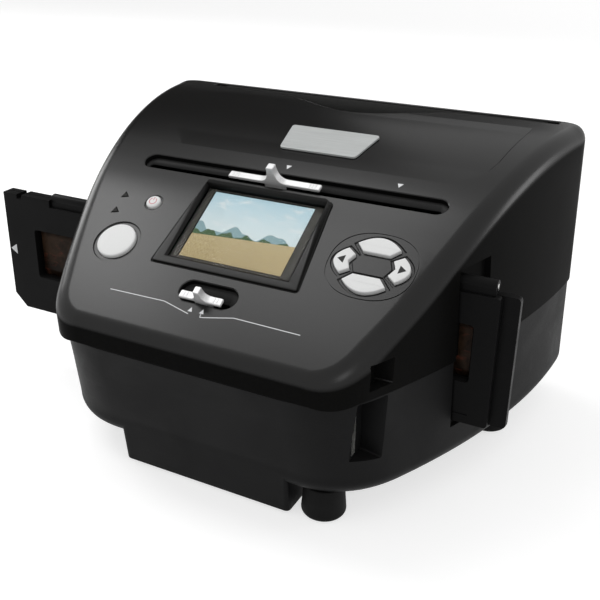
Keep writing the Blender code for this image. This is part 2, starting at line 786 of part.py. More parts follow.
def rim_radii(count):
    """Rim radius for each outline point: tight at the front, wide along the sides, tight at the rear."""
    radii = []
    for i in range(count):
        if i < CORNER_STEPS:
            radii.append(FRONT_RIM + (SIDE_RIM - FRONT_RIM) * i / CORNER_STEPS)
        elif i < CORNER_STEPS + SIDE_STEPS:
            radii.append(SIDE_RIM)
        else:
            share = (i - CORNER_STEPS - SIDE_STEPS) / CORNER_STEPS
            radii.append(SIDE_RIM + (REAR_RIM - SIDE_RIM) * share)
    return radii


def upper_outside():
    """The outer form of the upper housing, from the split line up over its rounded rim."""
    base = plan_side(UPPER_BASE, FRONT_Y, FRONT_CORNER)
    radii = rim_radii(PLAN_COUNT)
    rings = [[Vector((p.x, p.y, UPPER_BASE)) for p in base]]
    for step in range(RIM_STEPS + 1):
        turn = HALF_TURN * step / RIM_STEPS
        inset = [r * (1 - math.cos(turn)) for r in radii]
        points = plan_side(face_height, FRONT_Y, FRONT_CORNER, inset)
        drops = [r * (1 - math.sin(turn)) for r in radii]
        rings.append([Vector((p.x, p.y, face_height(p.y) - drop)) for p, drop in zip(points, drops)])
    return loft("upper_housing", rings, "satin_black")


def upper_inside():
    """The hollow of the upper housing, one wall inside its outer form and open below."""
    inset = [WALL] * PLAN_COUNT
    radii = rim_radii(PLAN_COUNT)
    base = plan_side(SPLIT_LEVEL, FRONT_Y, FRONT_CORNER, inset)
    low = [Vector((p.x, p.y, SPLIT_LEVEL - OVERRUN)) for p in base]
    sides = plan_side(face_height, FRONT_Y, FRONT_CORNER, inset)
    shoulder = [Vector((p.x, p.y, face_height(p.y) - WALL - r)) for p, r in zip(sides, radii)]
    rim = [WALL + r * HOLLOW_RIM_SHARE for r in radii]
    under = plan_side(face_height, FRONT_Y, FRONT_CORNER, rim)
    top = [Vector((p.x, p.y, face_height(p.y) - WALL / math.cos(face_slope(p.y)))) for p in under]
    return loft("upper_hollow", [low, shoulder, top])


def front_lean(level):
    """Where the lower housing's front wall stands at a level, from its foot down over the skirt."""
    share = (LOWER_FOOT_LEVEL - level) / (LOWER_FOOT_LEVEL - SKIRT_LEVEL)
    return LOWER_FOOT_Y + (SKIRT_FRONT_Y - LOWER_FOOT_Y) * share


def lower_ring(plan_level, height, front_y, inset):
    """One ring of the lower housing: its plan at a level, moved inwards and set at a height."""
    points = plan_side(plan_level, front_y - LIP_STEP, LOWER_CORNER, [LIP_STEP + inset] * PLAN_COUNT)
    return [Vector((p.x, p.y, height)) for p in points]


def lower_wall(inset):
    """Rings of the lower housing's wall, from the split line down to its rounded bottom edge."""
    fronts = [
        (SPLIT_LEVEL, FRONT_Y + LIP_STEP),
        (LOWER_CREASE_LEVEL, LOWER_CREASE_Y),
        (LOWER_FOOT_LEVEL, LOWER_FOOT_Y),
        (CURB_LEVEL, front_lean(CURB_LEVEL)),
    ]
    return [lower_ring(level, level, front_y, inset) for level, front_y in fronts]


def lower_outside():
    """The outer form of the lower housing, with a rounded bottom edge."""
    rings = lower_wall(0)
    for step in range(1, RIM_STEPS + 1):
        turn = HALF_TURN * step / RIM_STEPS
        height = BOTTOM_LEVEL + LOWER_ROUND * (1 - math.sin(turn))
        inset = LOWER_ROUND * (1 - math.cos(turn))
        rings.append(lower_ring(CURB_LEVEL, height, front_lean(CURB_LEVEL), inset))
    return loft("lower_housing", rings, "matte_black")


def lower_inside():
    """The hollow of the lower housing, open above."""
    rings = lower_wall(WALL)
    lifted = [Vector((p.x, p.y, SPLIT_LEVEL + OVERRUN)) for p in rings[0]]
    floor = lower_ring(CURB_LEVEL, FLOOR, front_lean(CURB_LEVEL), LOWER_ROUND)
    return loft("lower_hollow", [lifted] + rings + [floor])


def set_middle():
    """Move everything so that the origin lies on the ground under the middle of the whole object."""
    widest = max(point.x for ring in lower_wall(0) for point in ring)
    base = plan_side(UPPER_BASE, FRONT_Y, FRONT_CORNER)
    widest = max([widest] + [point.x for point in base])
    SCANNER.location = (-(HOLDER_LEFT + widest) / 2, -(FRONT_Y + REAR_Y) / 2, 0)
    bpy.context.view_layer.update()


def skirt_block(name, wall, low, high):
    """The box under the front, or its hollow when a wall is given; its front leans as the housing's does."""
    rear_y = SKIRT_FRONT_Y + SKIRT_DEPTH
    half = SKIRT_HALF - wall
    corners = [(-half, SKIRT_FRONT_Y + wall), (half, SKIRT_FRONT_Y + wall), (half, rear_y - wall),
               (-half, rear_y - wall)]
    block = outline_solid(name, rounded(corners, SKIRT_ROUND), low, high)
    for vertex in block.data.vertices:
        lean = front_lean(vertex.co.z) - SKIRT_FRONT_Y
        vertex.co.y += lean * (rear_y - vertex.co.y) / SKIRT_DEPTH
    return block


def side_blocks():
    """Thick stretches of both side walls, which hold the finger recesses."""
    inner = side_half(RECESS_FRONT_Y, RECESS_TOP) - RECESS_DEPTH - WALL
    outer = side_half(RECESS_REAR_Y, RECESS_LOW) + OVERRUN
    blocks = []
    for side, word in ((-1, "left"), (1, "right")):
        ends = sorted((side * inner, side * outer))
        blocks.append(box(f"thick_wall_{word}", (ends[0], RECESS_FRONT_Y - WALL, RECESS_LOW - WALL),
                          (ends[1], RECESS_REAR_Y + WALL, RECESS_TOP + WALL)))
    return blocks


def side_cuts():
    """The finger recess and the holder's slot in both side walls."""
    inner = side_half(RECESS_FRONT_Y, RECESS_TOP) - RECESS_DEPTH - WALL - OVERRUN
    outer = side_half(RECESS_REAR_Y, RECESS_LOW) + OVERRUN
    clear = SLIDE_GAP + SLIDE_GAP
    cuts = []
    for side, word in ((-1, "left"), (1, "right")):
        cuts.append(side_recess(f"recess_{word}", side))
        ends = sorted((side * inner, side * outer))
        cuts.append(box(f"holder_slot_{word}", (ends[0], HOLDER_FRONT_Y - clear, HOLDER_LOW - clear),
                        (ends[1], HOLDER_REAR_Y + clear, TAB_TOP + HINGE_RADIUS + clear)))
    return cuts


def side_recess(name, side):
    """A pocket in a side wall, equally deep all over, that follows the wall's plan at both its ends."""
    shape = bmesh.new()
    rings = []
    for level in (RECESS_LOW, RECESS_TOP):
        front = side_half(RECESS_FRONT_Y, level)
        rear = side_half(RECESS_REAR_Y, level)
        outline = [
            (front - RECESS_DEPTH, RECESS_FRONT_Y),
            (front + OVERRUN, RECESS_FRONT_Y),
            (rear + OVERRUN, RECESS_REAR_Y),
            (rear - RECESS_DEPTH, RECESS_REAR_Y),
        ]
        rings.append([shape.verts.new((side * x, y, level)) for x, y in outline])
    shape.faces.new(rings[0])
    shape.faces.new(rings[1])
    for i in range(len(rings[0])):
        k = (i + 1) % len(rings[0])
        shape.faces.new((rings[0][i], rings[0][k], rings[1][k], rings[1][i]))
    return from_bmesh(name, shape)


def dip_outline(grow=0):
    """Plan of the thumb dip in front of the tray slot: a soft bell that runs back into the slot."""
    points = []
    for i in range(DIP_STEPS + 1):
        share = 1 - 2 * i / DIP_STEPS
        bell = math.cos(HALF_TURN * share) ** 2
        points.append((DIP_X + (DIP_HALF + grow) * share, TRAY_FRONT_Y - (DIP_DEPTH + grow) * bell))
    rear_y = TRAY_FRONT_Y + OVERRUN
    return points + [(DIP_X - DIP_HALF - grow, rear_y), (DIP_X + DIP_HALF + grow, rear_y)]


def key_outlines():
    """Outlines of the four segment keys about the pad's middle."""
    crown = Vector((0, KEY_TOP_V * 2 - KEY_TIP_V))
    arc = curve_between(Vector((KEY_TIP_X, KEY_TIP_V)), crown, Vector((-KEY_TIP_X, KEY_TIP_V)), CORNER_STEPS)
    top = [tuple(p) for p in arc]
    top += [(-KEY_TIP_X, KEY_TIP_V), (-KEY_FOOT_X, KEY_FOOT_V), (KEY_FOOT_X, KEY_FOOT_V)]
    bulge = Vector((SIDE_KEY_OUT_X * 2 - SIDE_KEY_TIP_X, 0))
    arc = curve_between(Vector((SIDE_KEY_TIP_X, -SIDE_KEY_TIP_V)), bulge,
                        Vector((SIDE_KEY_TIP_X, SIDE_KEY_TIP_V)), CORNER_STEPS)
    side = [tuple(p) for p in arc]
    side += [(SIDE_KEY_TIP_X, SIDE_KEY_TIP_V), (SIDE_KEY_IN_X, SIDE_KEY_IN_V), (SIDE_KEY_WAIST_X, 0),
             (SIDE_KEY_IN_X, -SIDE_KEY_IN_V)]
    return {
        "mode_key": top,
        "right_key": side,
        "enter_key": [(-x, -y) for x, y in top],
        "left_key": [(-x, -y) for x, y in side],
    }


def key_centres():
    """Middle of each button on the screen plane, for the switches behind them."""
    tall = (KEY_TOP_V + KEY_FOOT_V) / 2
    wide = (SIDE_KEY_OUT_X + SIDE_KEY_WAIST_X) / 2
    return [(SCAN_X, SCAN_V), (POWER_X, POWER_V), (KEYS_X, KEYS_V + tall), (KEYS_X, KEYS_V - tall),
            (KEYS_X + wide, KEYS_V), (KEYS_X - wide, KEYS_V)]


def make_keys():
    """The four segment keys, each with a flange under the housing wall that keeps it in its hole."""
    frame = on_screen_plane(KEYS_X, KEYS_V)
    for name, outline in key_outlines().items():
        low = KEY_LOW + KEY_FLANGE_DEPTH / 2
        cap = outline_solid(name, outline, low, KEY_RISE, "key_white", frame, KEY_EDGE)
        flange = outline_solid(name + "_flange", grown(outline, KEY_FLANGE), KEY_LOW,
                               KEY_LOW + KEY_FLANGE_DEPTH, None, frame)
        join(cap, flange)


def round_button(name, x, v, radius):
    """A round button, slightly crowned, with the same kind of flange."""
    profile = [
        (0, KEY_RISE),
        (radius - KEY_EDGE * 2, KEY_RISE - KEY_EDGE / 2),
        (radius - KEY_EDGE, KEY_RISE - KEY_EDGE),
        (radius, KEY_RISE - KEY_EDGE * 2),
        (radius, KEY_LOW + KEY_FLANGE_DEPTH),
        (radius + KEY_FLANGE, KEY_LOW + KEY_FLANGE_DEPTH),
        (radius + KEY_FLANGE, KEY_LOW),
        (0, KEY_LOW),
    ]
    turned(name, profile, "key_white", on_screen_plane(x, v))


def lamp_light(name, v):
    """A small triangular light guide from the board out to the face."""
    guide = circle(0, 0, LAMP_RADIUS, 3)
    outline_solid(name, guide, GAP - BOARD_DEPTH, LAMP_RISE, "lamp_lens", on_screen_plane(LAMP_X, v))


def plate_outline(grow=0):
    """The name plate's trapezoid, wider at the top, with rounded corners."""
    half = PLATE_LONG / 2
    corners = [(-PLATE_BOTTOM_HALF, -half), (PLATE_BOTTOM_HALF, -half), (PLATE_TOP_HALF, half),
               (-PLATE_TOP_HALF, half)]
    return grown(rounded(corners, PLATE_CORNER), grow)


def bezel_outline(grow=0):
    """The screen frame's outer trapezoid, wider at the bottom."""
    corners = [(-BEZEL_BOTTOM_HALF, BEZEL_BOTTOM_V), (BEZEL_BOTTOM_HALF, BEZEL_BOTTOM_V),
               (BEZEL_TOP_HALF, BEZEL_TOP_V), (-BEZEL_TOP_HALF, BEZEL_TOP_V)]
    return grown(rounded(corners, BEZEL_CORNER), grow)


def make_screen():
    """The raised frame, the window, the display panel and the spacer that carries it on the board."""
    frame = on_screen_plane()
    bezel = outline_solid("lcd_bezel", bezel_outline(), BEZEL_LOW, BEZEL_HIGH_RISE, "bezel_black")
    bezel.matrix_local = frame
    for vertex in bezel.data.vertices:
        if vertex.co.z > 0:
            share = (vertex.co.y - BEZEL_BOTTOM_V) / (BEZEL_TOP_V - BEZEL_BOTTOM_V)
            vertex.co.z = BEZEL_LOW_RISE + (BEZEL_HIGH_RISE - BEZEL_LOW_RISE) * share
    wide = WINDOW_HALF_WIDTH - BEZEL_LIP
    tall = WINDOW_HALF_TALL - BEZEL_LIP
    cut(bezel, box("bezel_opening", (-wide, -tall, BEZEL_LOW - OVERRUN),
                   (wide, tall, BEZEL_HIGH_RISE + OVERRUN), None, frame))
    box("display_window", (-WINDOW_HALF_WIDTH, -WINDOW_HALF_TALL, WINDOW_TOP - WINDOW_THICKNESS),
        (WINDOW_HALF_WIDTH, WINDOW_HALF_TALL, WINDOW_TOP), "clear_glass", frame)
    wide = SCREEN_WIDTH / 2 + PANEL_MARGIN
    tall = SCREEN_TALL / 2 + PANEL_MARGIN
    box("lcd_panel", (-wide, -tall, PANEL_TOP - PANEL_THICKNESS), (wide, tall, PANEL_TOP),
        "screen_picture", frame)
    low = GAP - BOARD_DEPTH
    wide = SCREEN_WIDTH / 2 + SPACER_SIDE_MARGIN
    tall = SCREEN_TALL / 2 + SPACER_TOP_MARGIN
    spacer = box("lcd_bracket", (-wide, -tall, low), (wide, tall, SPACER_TOP), "matte_black", frame)
    wide -= SPACER_BORDER
    tall -= SPACER_BORDER
    cut(spacer, box("bracket_opening", (-wide, -tall, low - OVERRUN), (wide, tall, SPACER_TOP + OVERRUN),
                    None, frame))


def make_key_board():
    """The board behind the face, with a switch under each button and four screws up into the housing."""
    frame = on_screen_plane()
    low = -BOARD_DEPTH - BOARD_THICKNESS
    board = box("key_board", (-BOARD_HALF_WIDTH, BOARD_LOW_V, low),
                (BOARD_HALF_WIDTH, BOARD_HIGH_V, -BOARD_DEPTH), "board_green", frame)
    for i, (x, v) in enumerate(key_centres()):
        join(board, box(f"switch_{i}", (x - SWITCH_HALF, v - SWITCH_HALF, low + GAP),
                        (x + SWITCH_HALF, v + SWITCH_HALF, SWITCH_TOP), None, frame))
    head = low - GAP
    profile = [
        (0, head + BOARD_SCREW_LONG),
        (BOARD_SCREW_RADIUS, head + BOARD_SCREW_LONG),
        (BOARD_SCREW_RADIUS, head),
        (BOARD_SCREW_HEAD, head),
        (BOARD_SCREW_HEAD, head - BOARD_SCREW_HEAD_TALL),
        (0, head - BOARD_SCREW_HEAD_TALL),
    ]
    for i, (x, v) in enumerate(BOARD_SCREW_PLACES):
        place_at = on_screen_plane(x, v)
        cut(board, drill(f"board_hole_{i}", place_at, BOARD_SCREW_RADIUS + GAP, low - OVERRUN, OVERRUN))
        turned(f"board_screw_{i + 1}", profile, "screw_steel", place_at, SMALL_SEGMENTS)


def make_upper_housing():
    """The upper housing: a shell with thick walls at the side slots, screw posts and the face's openings."""
    plane = on_screen_plane()
    hollow = upper_inside()
    cut(hollow, *side_blocks())
    cut(hollow, outline_solid("dip_block", dip_outline(WALL), DIP_FLOOR - WALL, TOP_LEVEL + OVERRUN))
    cut(hollow, box("usb_block", (USB_BAY_FLOOR - BAY_WALL, USB_BAY_FRONT_Y - BAY_WALL,
                                  USB_BAY_LOW - BAY_WALL),
                    (TOP_REAR_HALF, USB_BAY_REAR_Y + BAY_WALL, USB_BAY_TOP + BAY_WALL)))
    for i, (x, y) in enumerate(SCREW_PLACES):
        cut(hollow, cylinder(f"upper_post_{i}", (x, y, SPLIT_LEVEL - OVERRUN * 2), (x, y, TOP_LEVEL + OVERRUN),
                             POST_RADIUS))
    for i, (x, v) in enumerate(BOARD_SCREW_PLACES):
        cut(hollow, drill(f"board_post_{i}", on_screen_plane(x, v), BOARD_POST_RADIUS, GAP - BOARD_DEPTH, 0))
    housing = upper_outside()
    cut(housing, hollow, *side_cuts())
    for i, (x, y) in enumerate(SCREW_PLACES):
        cut(housing, cylinder(f"screw_hole_{i}", (x, y, SPLIT_LEVEL - OVERRUN),
                              (x, y, SPLIT_LEVEL + SCREW_BITE + GAP), SCREW_RADIUS + GAP))
    tip = BOARD_SCREW_LONG - BOARD_DEPTH - BOARD_THICKNESS
    for i, (x, v) in enumerate(BOARD_SCREW_PLACES):
        cut(housing, drill(f"board_pilot_{i}", on_screen_plane(x, v), BOARD_SCREW_RADIUS + GAP,
                           -BOARD_DEPTH - OVERRUN, tip))
    cut(housing, outline_solid("tray_dip", dip_outline(), DIP_FLOOR, TOP_LEVEL + OVERRUN))
    cut(housing, box("tray_slot", (TRAY_SLOT_X - TRAY_SLOT_HALF, TRAY_FRONT_Y, DIP_FLOOR - WALL - OVERRUN),
                     (TRAY_SLOT_X + TRAY_SLOT_HALF, TRAY_REAR_Y, TOP_LEVEL + OVERRUN)))
    upper_slot = stadium(0, 0, UPPER_SLOT_HALF, UPPER_SLOT_WIDTH)
    cut(housing, outline_solid("upper_slot", upper_slot, -WALL - OVERRUN, OVERRUN, None,
                               on_face(UPPER_SLOT_X, UPPER_SLOT_Y)))
    lower_slot = stadium(LOWER_SLOT_X, LOWER_SLOT_V, LOWER_SLOT_HALF, LOWER_SLOT_WIDTH)
    cut(housing, outline_solid("lower_slot", lower_slot, -WALL - OVERRUN, OVERRUN, None, plane))
    cut(housing, outline_solid("plate_pocket", plate_outline(GAP), -PLATE_SINK - GAP, OVERRUN, None,
                               on_face(PLATE_X, PLATE_Y)))
    cut(housing, outline_solid("bezel_seat", bezel_outline(GAP), -BEZEL_SEAT, OVERRUN, None, plane))
    wide = WINDOW_HALF_WIDTH + GAP
    tall = WINDOW_HALF_TALL + GAP
    cut(housing, box("window_opening", (-wide, -tall, -WALL - OVERRUN), (wide, tall, OVERRUN), None, plane))
    keys = on_screen_plane(KEYS_X, KEYS_V)
    for name, outline in key_outlines().items():
        cut(housing, outline_solid(name + "_border", grown(outline, KEYS_BORDER), -RING_DEPTH, OVERRUN,
                                   None, keys))
    for name, outline in key_outlines().items():
        cut(housing, outline_solid(name + "_hole", grown(outline, GAP), -WALL - OVERRUN, OVERRUN, None, keys))
    for name, x, v, radius, ring in (("scan", SCAN_X, SCAN_V, SCAN_RADIUS, SCAN_RING),
                                     ("power", POWER_X, POWER_V, POWER_RADIUS, POWER_RING)):
        spot = on_screen_plane(x, v)
        cut(housing, drill(name + "_ring", spot, radius + ring, -RING_DEPTH, OVERRUN, ROUND_SEGMENTS))
        cut(housing, drill(name + "_hole", spot, radius + GAP, -WALL - OVERRUN, OVERRUN, ROUND_SEGMENTS))
    for name, v in (("photo", LAMP_PHOTO_V), ("film", LAMP_FILM_V)):
        cut(housing, outline_solid(name + "_lamp_hole", circle(0, 0, LAMP_RADIUS + GAP * 2, 3),
                                   -WALL - OVERRUN, OVERRUN, None, on_screen_plane(LAMP_X, v)))
    cut(housing, box("usb_bay", (USB_BAY_FLOOR, USB_BAY_FRONT_Y, USB_BAY_LOW),
                     (TOP_REAR_HALF, USB_BAY_REAR_Y, USB_BAY_TOP)))
    cut(housing, box("usb_hole", (USB_BAY_FLOOR - BAY_WALL - OVERRUN, CARD_REAR_Y - USB_THICKNESS - GAP,
                                  USB_LOW - GAP),
                     (USB_BAY_FLOOR + OVERRUN, CARD_REAR_Y + GAP, USB_LOW + USB_TALL + GAP)))


def board_ribs():
    """Two pairs of ribs on the floor, which hold the main board's lower edge between them."""
    ribs = []
    for left in (MAIN_LEFT, MAIN_LEFT + BOARD_RIB_PITCH):
        for word, front_y in (("front", MAIN_FRONT_Y - GAP - BOARD_RIB_WALL),
                              ("rear", MAIN_FRONT_Y + BOARD_THICKNESS + GAP)):
            ribs.append(box(f"rib_{word}_{left:.4f}", (left, front_y, FLOOR - OVERRUN),
                            (left + BOARD_RIB_LONG, front_y + BOARD_RIB_WALL, FLOOR + BOARD_RIB_TALL)))
    return ribs


def make_lower_housing():
    """The lower housing with its skirt, the wells of the housing screws and the card bay."""
    hollow = lower_inside()
    cut(hollow, *side_blocks(), *board_ribs())
    cut(hollow, box("card_block", (CARD_BAY_FLOOR - BAY_WALL, CARD_BAY_FRONT_Y - BAY_WALL,
                                   CARD_BAY_LOW - BAY_WALL),
                    (BOTTOM_REAR_HALF, CARD_BAY_REAR_Y + BAY_WALL, SPLIT_LEVEL + OVERRUN * 2)))
    for i, (x, y) in enumerate(SCREW_PLACES):
        cut(hollow, cylinder(f"lower_post_{i}", (x, y, 0), (x, y, SPLIT_LEVEL + OVERRUN * 2),
                             WELL_RADIUS + POST_WALL))
    housing = lower_outside()
    join(housing, skirt_block("skirt", 0, SKIRT_LEVEL, (CURB_LEVEL + LOWER_FOOT_LEVEL) / 2))
    cut(housing, hollow, *side_cuts())
    cut(housing, skirt_block("skirt_hollow", SKIRT_WALL, SKIRT_LEVEL - OVERRUN, BOTTOM_LEVEL + GAP))
    for i, (x, y) in enumerate(SCREW_PLACES):
        cut(housing, cylinder(f"well_{i}", (x, y, 0), (x, y, SPLIT_LEVEL - SCREW_WEB), WELL_RADIUS))
        cut(housing, cylinder(f"web_hole_{i}", (x, y, SPLIT_LEVEL - SCREW_WEB - GAP),
                              (x, y, SPLIT_LEVEL + OVERRUN), SCREW_RADIUS + GAP))
    for i, (x, y) in enumerate(FOOT_PLACES):
        cut(housing, cylinder(f"foot_hole_{i}", (x, y, 0), (x, y, FLOOR + GAP), FOOT_SPIGOT_RADIUS + GAP))
    cut(housing, box("card_bay", (CARD_BAY_FLOOR, CARD_BAY_FRONT_Y, CARD_BAY_LOW),
                     (BOTTOM_REAR_HALF, CARD_BAY_REAR_Y, CARD_BAY_TOP)))
    cut(housing, box("card_hole", (CARD_BAY_FLOOR - BAY_WALL - OVERRUN, CARD_REAR_Y - CARD_THICKNESS - GAP,
                                   CARD_LOW - GAP),
                     (CARD_BAY_FLOOR + OVERRUN, CARD_REAR_Y + GAP, CARD_LOW + CARD_TALL + GAP)))


def slider_outline(wing_half, wing, fin_tall, fin_half, flare_half):
    """Front view of a slider knob: two flat wings and a fin that flares into them."""
    radius = wing * WING_END_SHARE
    flare = curve_between(Vector((flare_half, wing)), Vector((fin_half, wing)),
                          Vector((fin_half, fin_tall - radius)), CORNER_STEPS)
    right = [(wing_half - radius, 0), (wing_half, wing / 2), (wing_half - radius, wing)]
    right += [tuple(p) for p in flare]
    right += [(fin_half, fin_tall - radius), (fin_half - radius, fin_tall)]
    return right + [(-x, y) for x, y in reversed(right)]


def slider_knob(name, frame, outline, wing_half, wing, flare_half, depth, lift, stem):
    """A slider knob that glides just above the face, with ridged wings and a stem down through the slot."""
    stem_half, stem_depth, stem_long = stem
    standing = frame @ Matrix.Rotation(HALF_TURN, 4, "X")
    raised = [(x, y + lift) for x, y in outline]
    knob = outline_solid(name, raised, -depth / 2, depth / 2, "slider_silver", standing)
    join(knob, box(name + "_stem", (-stem_half, -stem_depth / 2, -stem_long),
                   (stem_half, stem_depth / 2, lift + wing / 2), None, frame))
    height = wing + lift - RIDGE_RADIUS + RIDGE_RISE
    reach = depth / 2 - KEY_EDGE * 2
    for side in (-1, 1):
        for i in range(RIDGE_COUNT):
            x = side * (wing_half - wing / 2 - RIDGE_PITCH * (i + 1))
            if abs(x) > flare_half + RIDGE_RADIUS:
                join(knob, cylinder(f"{name}_ridge_{side}_{i}", frame @ Vector((x, -reach, height)),
                                    frame @ Vector((x, reach, height)), RIDGE_RADIUS))


def mast_top():
    """Where the backlight's mast stands and how high it reaches, just under the slider's stem."""
    frame = on_face(0, SLIDER_Y)
    middle = frame @ Vector((0, 0, -SLIDER_STEM_LONG))
    corner = frame @ Vector((0, -SLIDER_STEM_DEPTH / 2, -SLIDER_STEM_LONG))
    return middle.y, corner.z - GAP


def make_backlight():
    """The upper slider with the mast, light box, diffuser and floor track that it moves."""
    outline = slider_outline(SLIDER_WING_HALF, SLIDER_WING, SLIDER_FIN_TALL, SLIDER_FIN_HALF,
                             SLIDER_FLARE_HALF)
    slider_knob("mode_slider_knob", on_face(0, SLIDER_Y), outline, SLIDER_WING_HALF, SLIDER_WING,
                SLIDER_FLARE_HALF, SLIDER_DEPTH, SLIDER_LIFT,
                (SLIDER_STEM_HALF, SLIDER_STEM_DEPTH, SLIDER_STEM_LONG))
    mast_y, top = mast_top()
    half = MAST_THICKNESS / 2
    carrier = box("backlight_carrier", (-MAST_HALF, mast_y - half, FLOOR_SEAT + TRACK_BASE + GAP),
                  (MAST_HALF, mast_y + half, top), "matte_black")
    diffuser_y = GATE_REAR_Y + SLIDE_GAP
    light_y = diffuser_y + DIFFUSER_THICKNESS + GAP
    join(carrier, box("light_box", (-LIGHT_HALF, light_y, LIGHT_LOW), (LIGHT_HALF, mast_y, LIGHT_HIGH)))
    wide = LIGHT_HALF - DIFFUSER_BORDER
    box("backlight_diffuser", (-wide, diffuser_y, LIGHT_LOW + DIFFUSER_BORDER),
        (wide, diffuser_y + DIFFUSER_THICKNESS, LIGHT_HIGH - DIFFUSER_BORDER), "diffuser_white")
    groove = half + SLIDE_GAP
    outer = groove + TRACK_WALL
    top = FLOOR_SEAT + TRACK_TALL
    base = FLOOR_SEAT + TRACK_BASE
    section = [(mast_y - outer, FLOOR_SEAT), (mast_y + outer, FLOOR_SEAT), (mast_y + outer, top),
               (mast_y + groove, top), (mast_y + groove, base), (mast_y - groove, base),
               (mast_y - groove, top), (mast_y - outer, top)]
    beam("backlight_track", section, TRACK_LEFT, TRACK_RIGHT, "matte_black")


def make_focus():
    """The lower slider with the slide under it, which carries the close-up lens in front of the camera."""
    frame = on_screen_plane(FOCUS_REST_X, FOCUS_V)
    corner = frame @ Vector((0, -FOCUS_STEM_DEPTH / 2, 0))
    long = (corner.z - FOCUS_PLATE_HIGH - GAP) / FACE_COS
    outline = slider_outline(FOCUS_WING_HALF, FOCUS_WING, FOCUS_FIN_TALL, FOCUS_FIN_HALF, FOCUS_FLARE_HALF)
    slider_knob("focus_slider_knob", frame, outline, FOCUS_WING_HALF, FOCUS_WING, FOCUS_FLARE_HALF,
                FOCUS_DEPTH, FOCUS_LIFT, (FOCUS_STEM_HALF, FOCUS_STEM_DEPTH, long))
    rear_y = FOCUS_TAB_Y + FOCUS_TAB_THICKNESS
    low = FOCUS_PLATE_LOW
    slide = beam("focus_slide", [(FOCUS_PLATE_FRONT_Y, low), (FOCUS_TAB_Y, low), (FOCUS_TAB_Y, FOCUS_TAB_LOW),
                                 (rear_y, FOCUS_TAB_LOW), (rear_y, FOCUS_PLATE_HIGH),
                                 (FOCUS_PLATE_FRONT_Y, FOCUS_PLATE_HIGH)],
                 -FOCUS_PLATE_HALF, FOCUS_PLATE_HALF, "matte_black")
    cut(slide, drill("lens_hole", facing_rear(FOCUS_TAB_Y), FOCUS_LENS_RADIUS + GAP, -OVERRUN / 2, OVERRUN,
                     ROUND_SEGMENTS))
    middle = FOCUS_TAB_Y + FOCUS_TAB_THICKNESS / 2
    crown = [(0, FOCUS_LENS_THICKNESS / 2), (FOCUS_LENS_RADIUS / 2, FOCUS_LENS_WAIST / 2),
             (FOCUS_LENS_RADIUS, FOCUS_LENS_EDGE / 2)]
    profile = crown + [(radius, -height) for radius, height in reversed(crown)]
    turned("close_up_lens", profile, "clear_glass", facing_rear(middle))


def make_camera():
    """The camera on its bracket: body, barrel with its glass, sensor board and the bracket's plate and foot."""
    box("camera_body", (-CAMERA_BODY_HALF, CAMERA_REAR_Y, CAMERA_LOW),
        (CAMERA_BODY_HALF, CAMERA_FRONT_Y, CAMERA_TOP), "matte_black", None, CAMERA_EDGE)
    bore = CAMERA_GLASS_RADIUS + GAP
    profile = [(bore, BARREL_LONG), (BARREL_RADIUS, BARREL_LONG), (BARREL_RADIUS, 0), (bore, 0)]
    turned("camera_barrel", profile, "matte_black", facing_rear(CAMERA_FRONT_Y + GAP), ROUND_SEGMENTS, True)
    glass_end = BARREL_END_Y - CAMERA_GLASS_SET
    cylinder("camera_glass", (0, glass_end - CAMERA_GLASS_THICKNESS, FILM_AXIS_HEIGHT),
             (0, glass_end, FILM_AXIS_HEIGHT), CAMERA_GLASS_RADIUS, "clear_glass", ROUND_SEGMENTS)
    box("sensor_board", (-SENSOR_HALF, SENSOR_REAR_Y, CAMERA_LOW),
        (SENSOR_HALF, CAMERA_REAR_Y - GAP, CAMERA_TOP), "board_green")
    rear_y = SENSOR_REAR_Y - GAP
    front_y = rear_y - SENSOR_BRACKET_THICKNESS
    foot_top = FLOOR_SEAT + SENSOR_BRACKET_THICKNESS
    beam("camera_bracket", [(front_y, FLOOR_SEAT), (front_y + SENSOR_BRACKET_FOOT, FLOOR_SEAT),
                            (front_y + SENSOR_BRACKET_FOOT, foot_top), (rear_y, foot_top),
                            (rear_y, SENSOR_BRACKET_TOP), (front_y, SENSOR_BRACKET_TOP)],
         -SENSOR_BRACKET_HALF, SENSOR_BRACKET_HALF, "socket_steel")


def make_gate():
    """The guide that the film holder slides in: two plates with a window, and a web under the holder."""
    web_top = HOLDER_LOW - SLIDE_GAP
    web_low = web_top - GATE_WEB
    inner_front = GATE_FRONT_Y + GATE_PLATE
    inner_rear = GATE_REAR_Y - GATE_PLATE
    gate = beam("film_gate", [(GATE_FRONT_Y, FLOOR_SEAT), (inner_front, FLOOR_SEAT), (inner_front, web_low),
                              (inner_rear, web_low), (inner_rear, FLOOR_SEAT), (GATE_REAR_Y, FLOOR_SEAT),
                              (GATE_REAR_Y, GATE_TOP), (inner_rear, GATE_TOP), (inner_rear, web_top),
                              (inner_front, web_top), (inner_front, GATE_TOP), (GATE_FRONT_Y, GATE_TOP)],
                -GATE_HALF, GATE_HALF, "matte_black")
    cut(gate, box("gate_window", (-GATE_WINDOW_WIDTH / 2, GATE_FRONT_Y - OVERRUN,
                                  FILM_AXIS_HEIGHT - GATE_WINDOW_TALL / 2),
                  (GATE_WINDOW_WIDTH / 2, GATE_REAR_Y + OVERRUN, FILM_AXIS_HEIGHT + GATE_WINDOW_TALL / 2)))


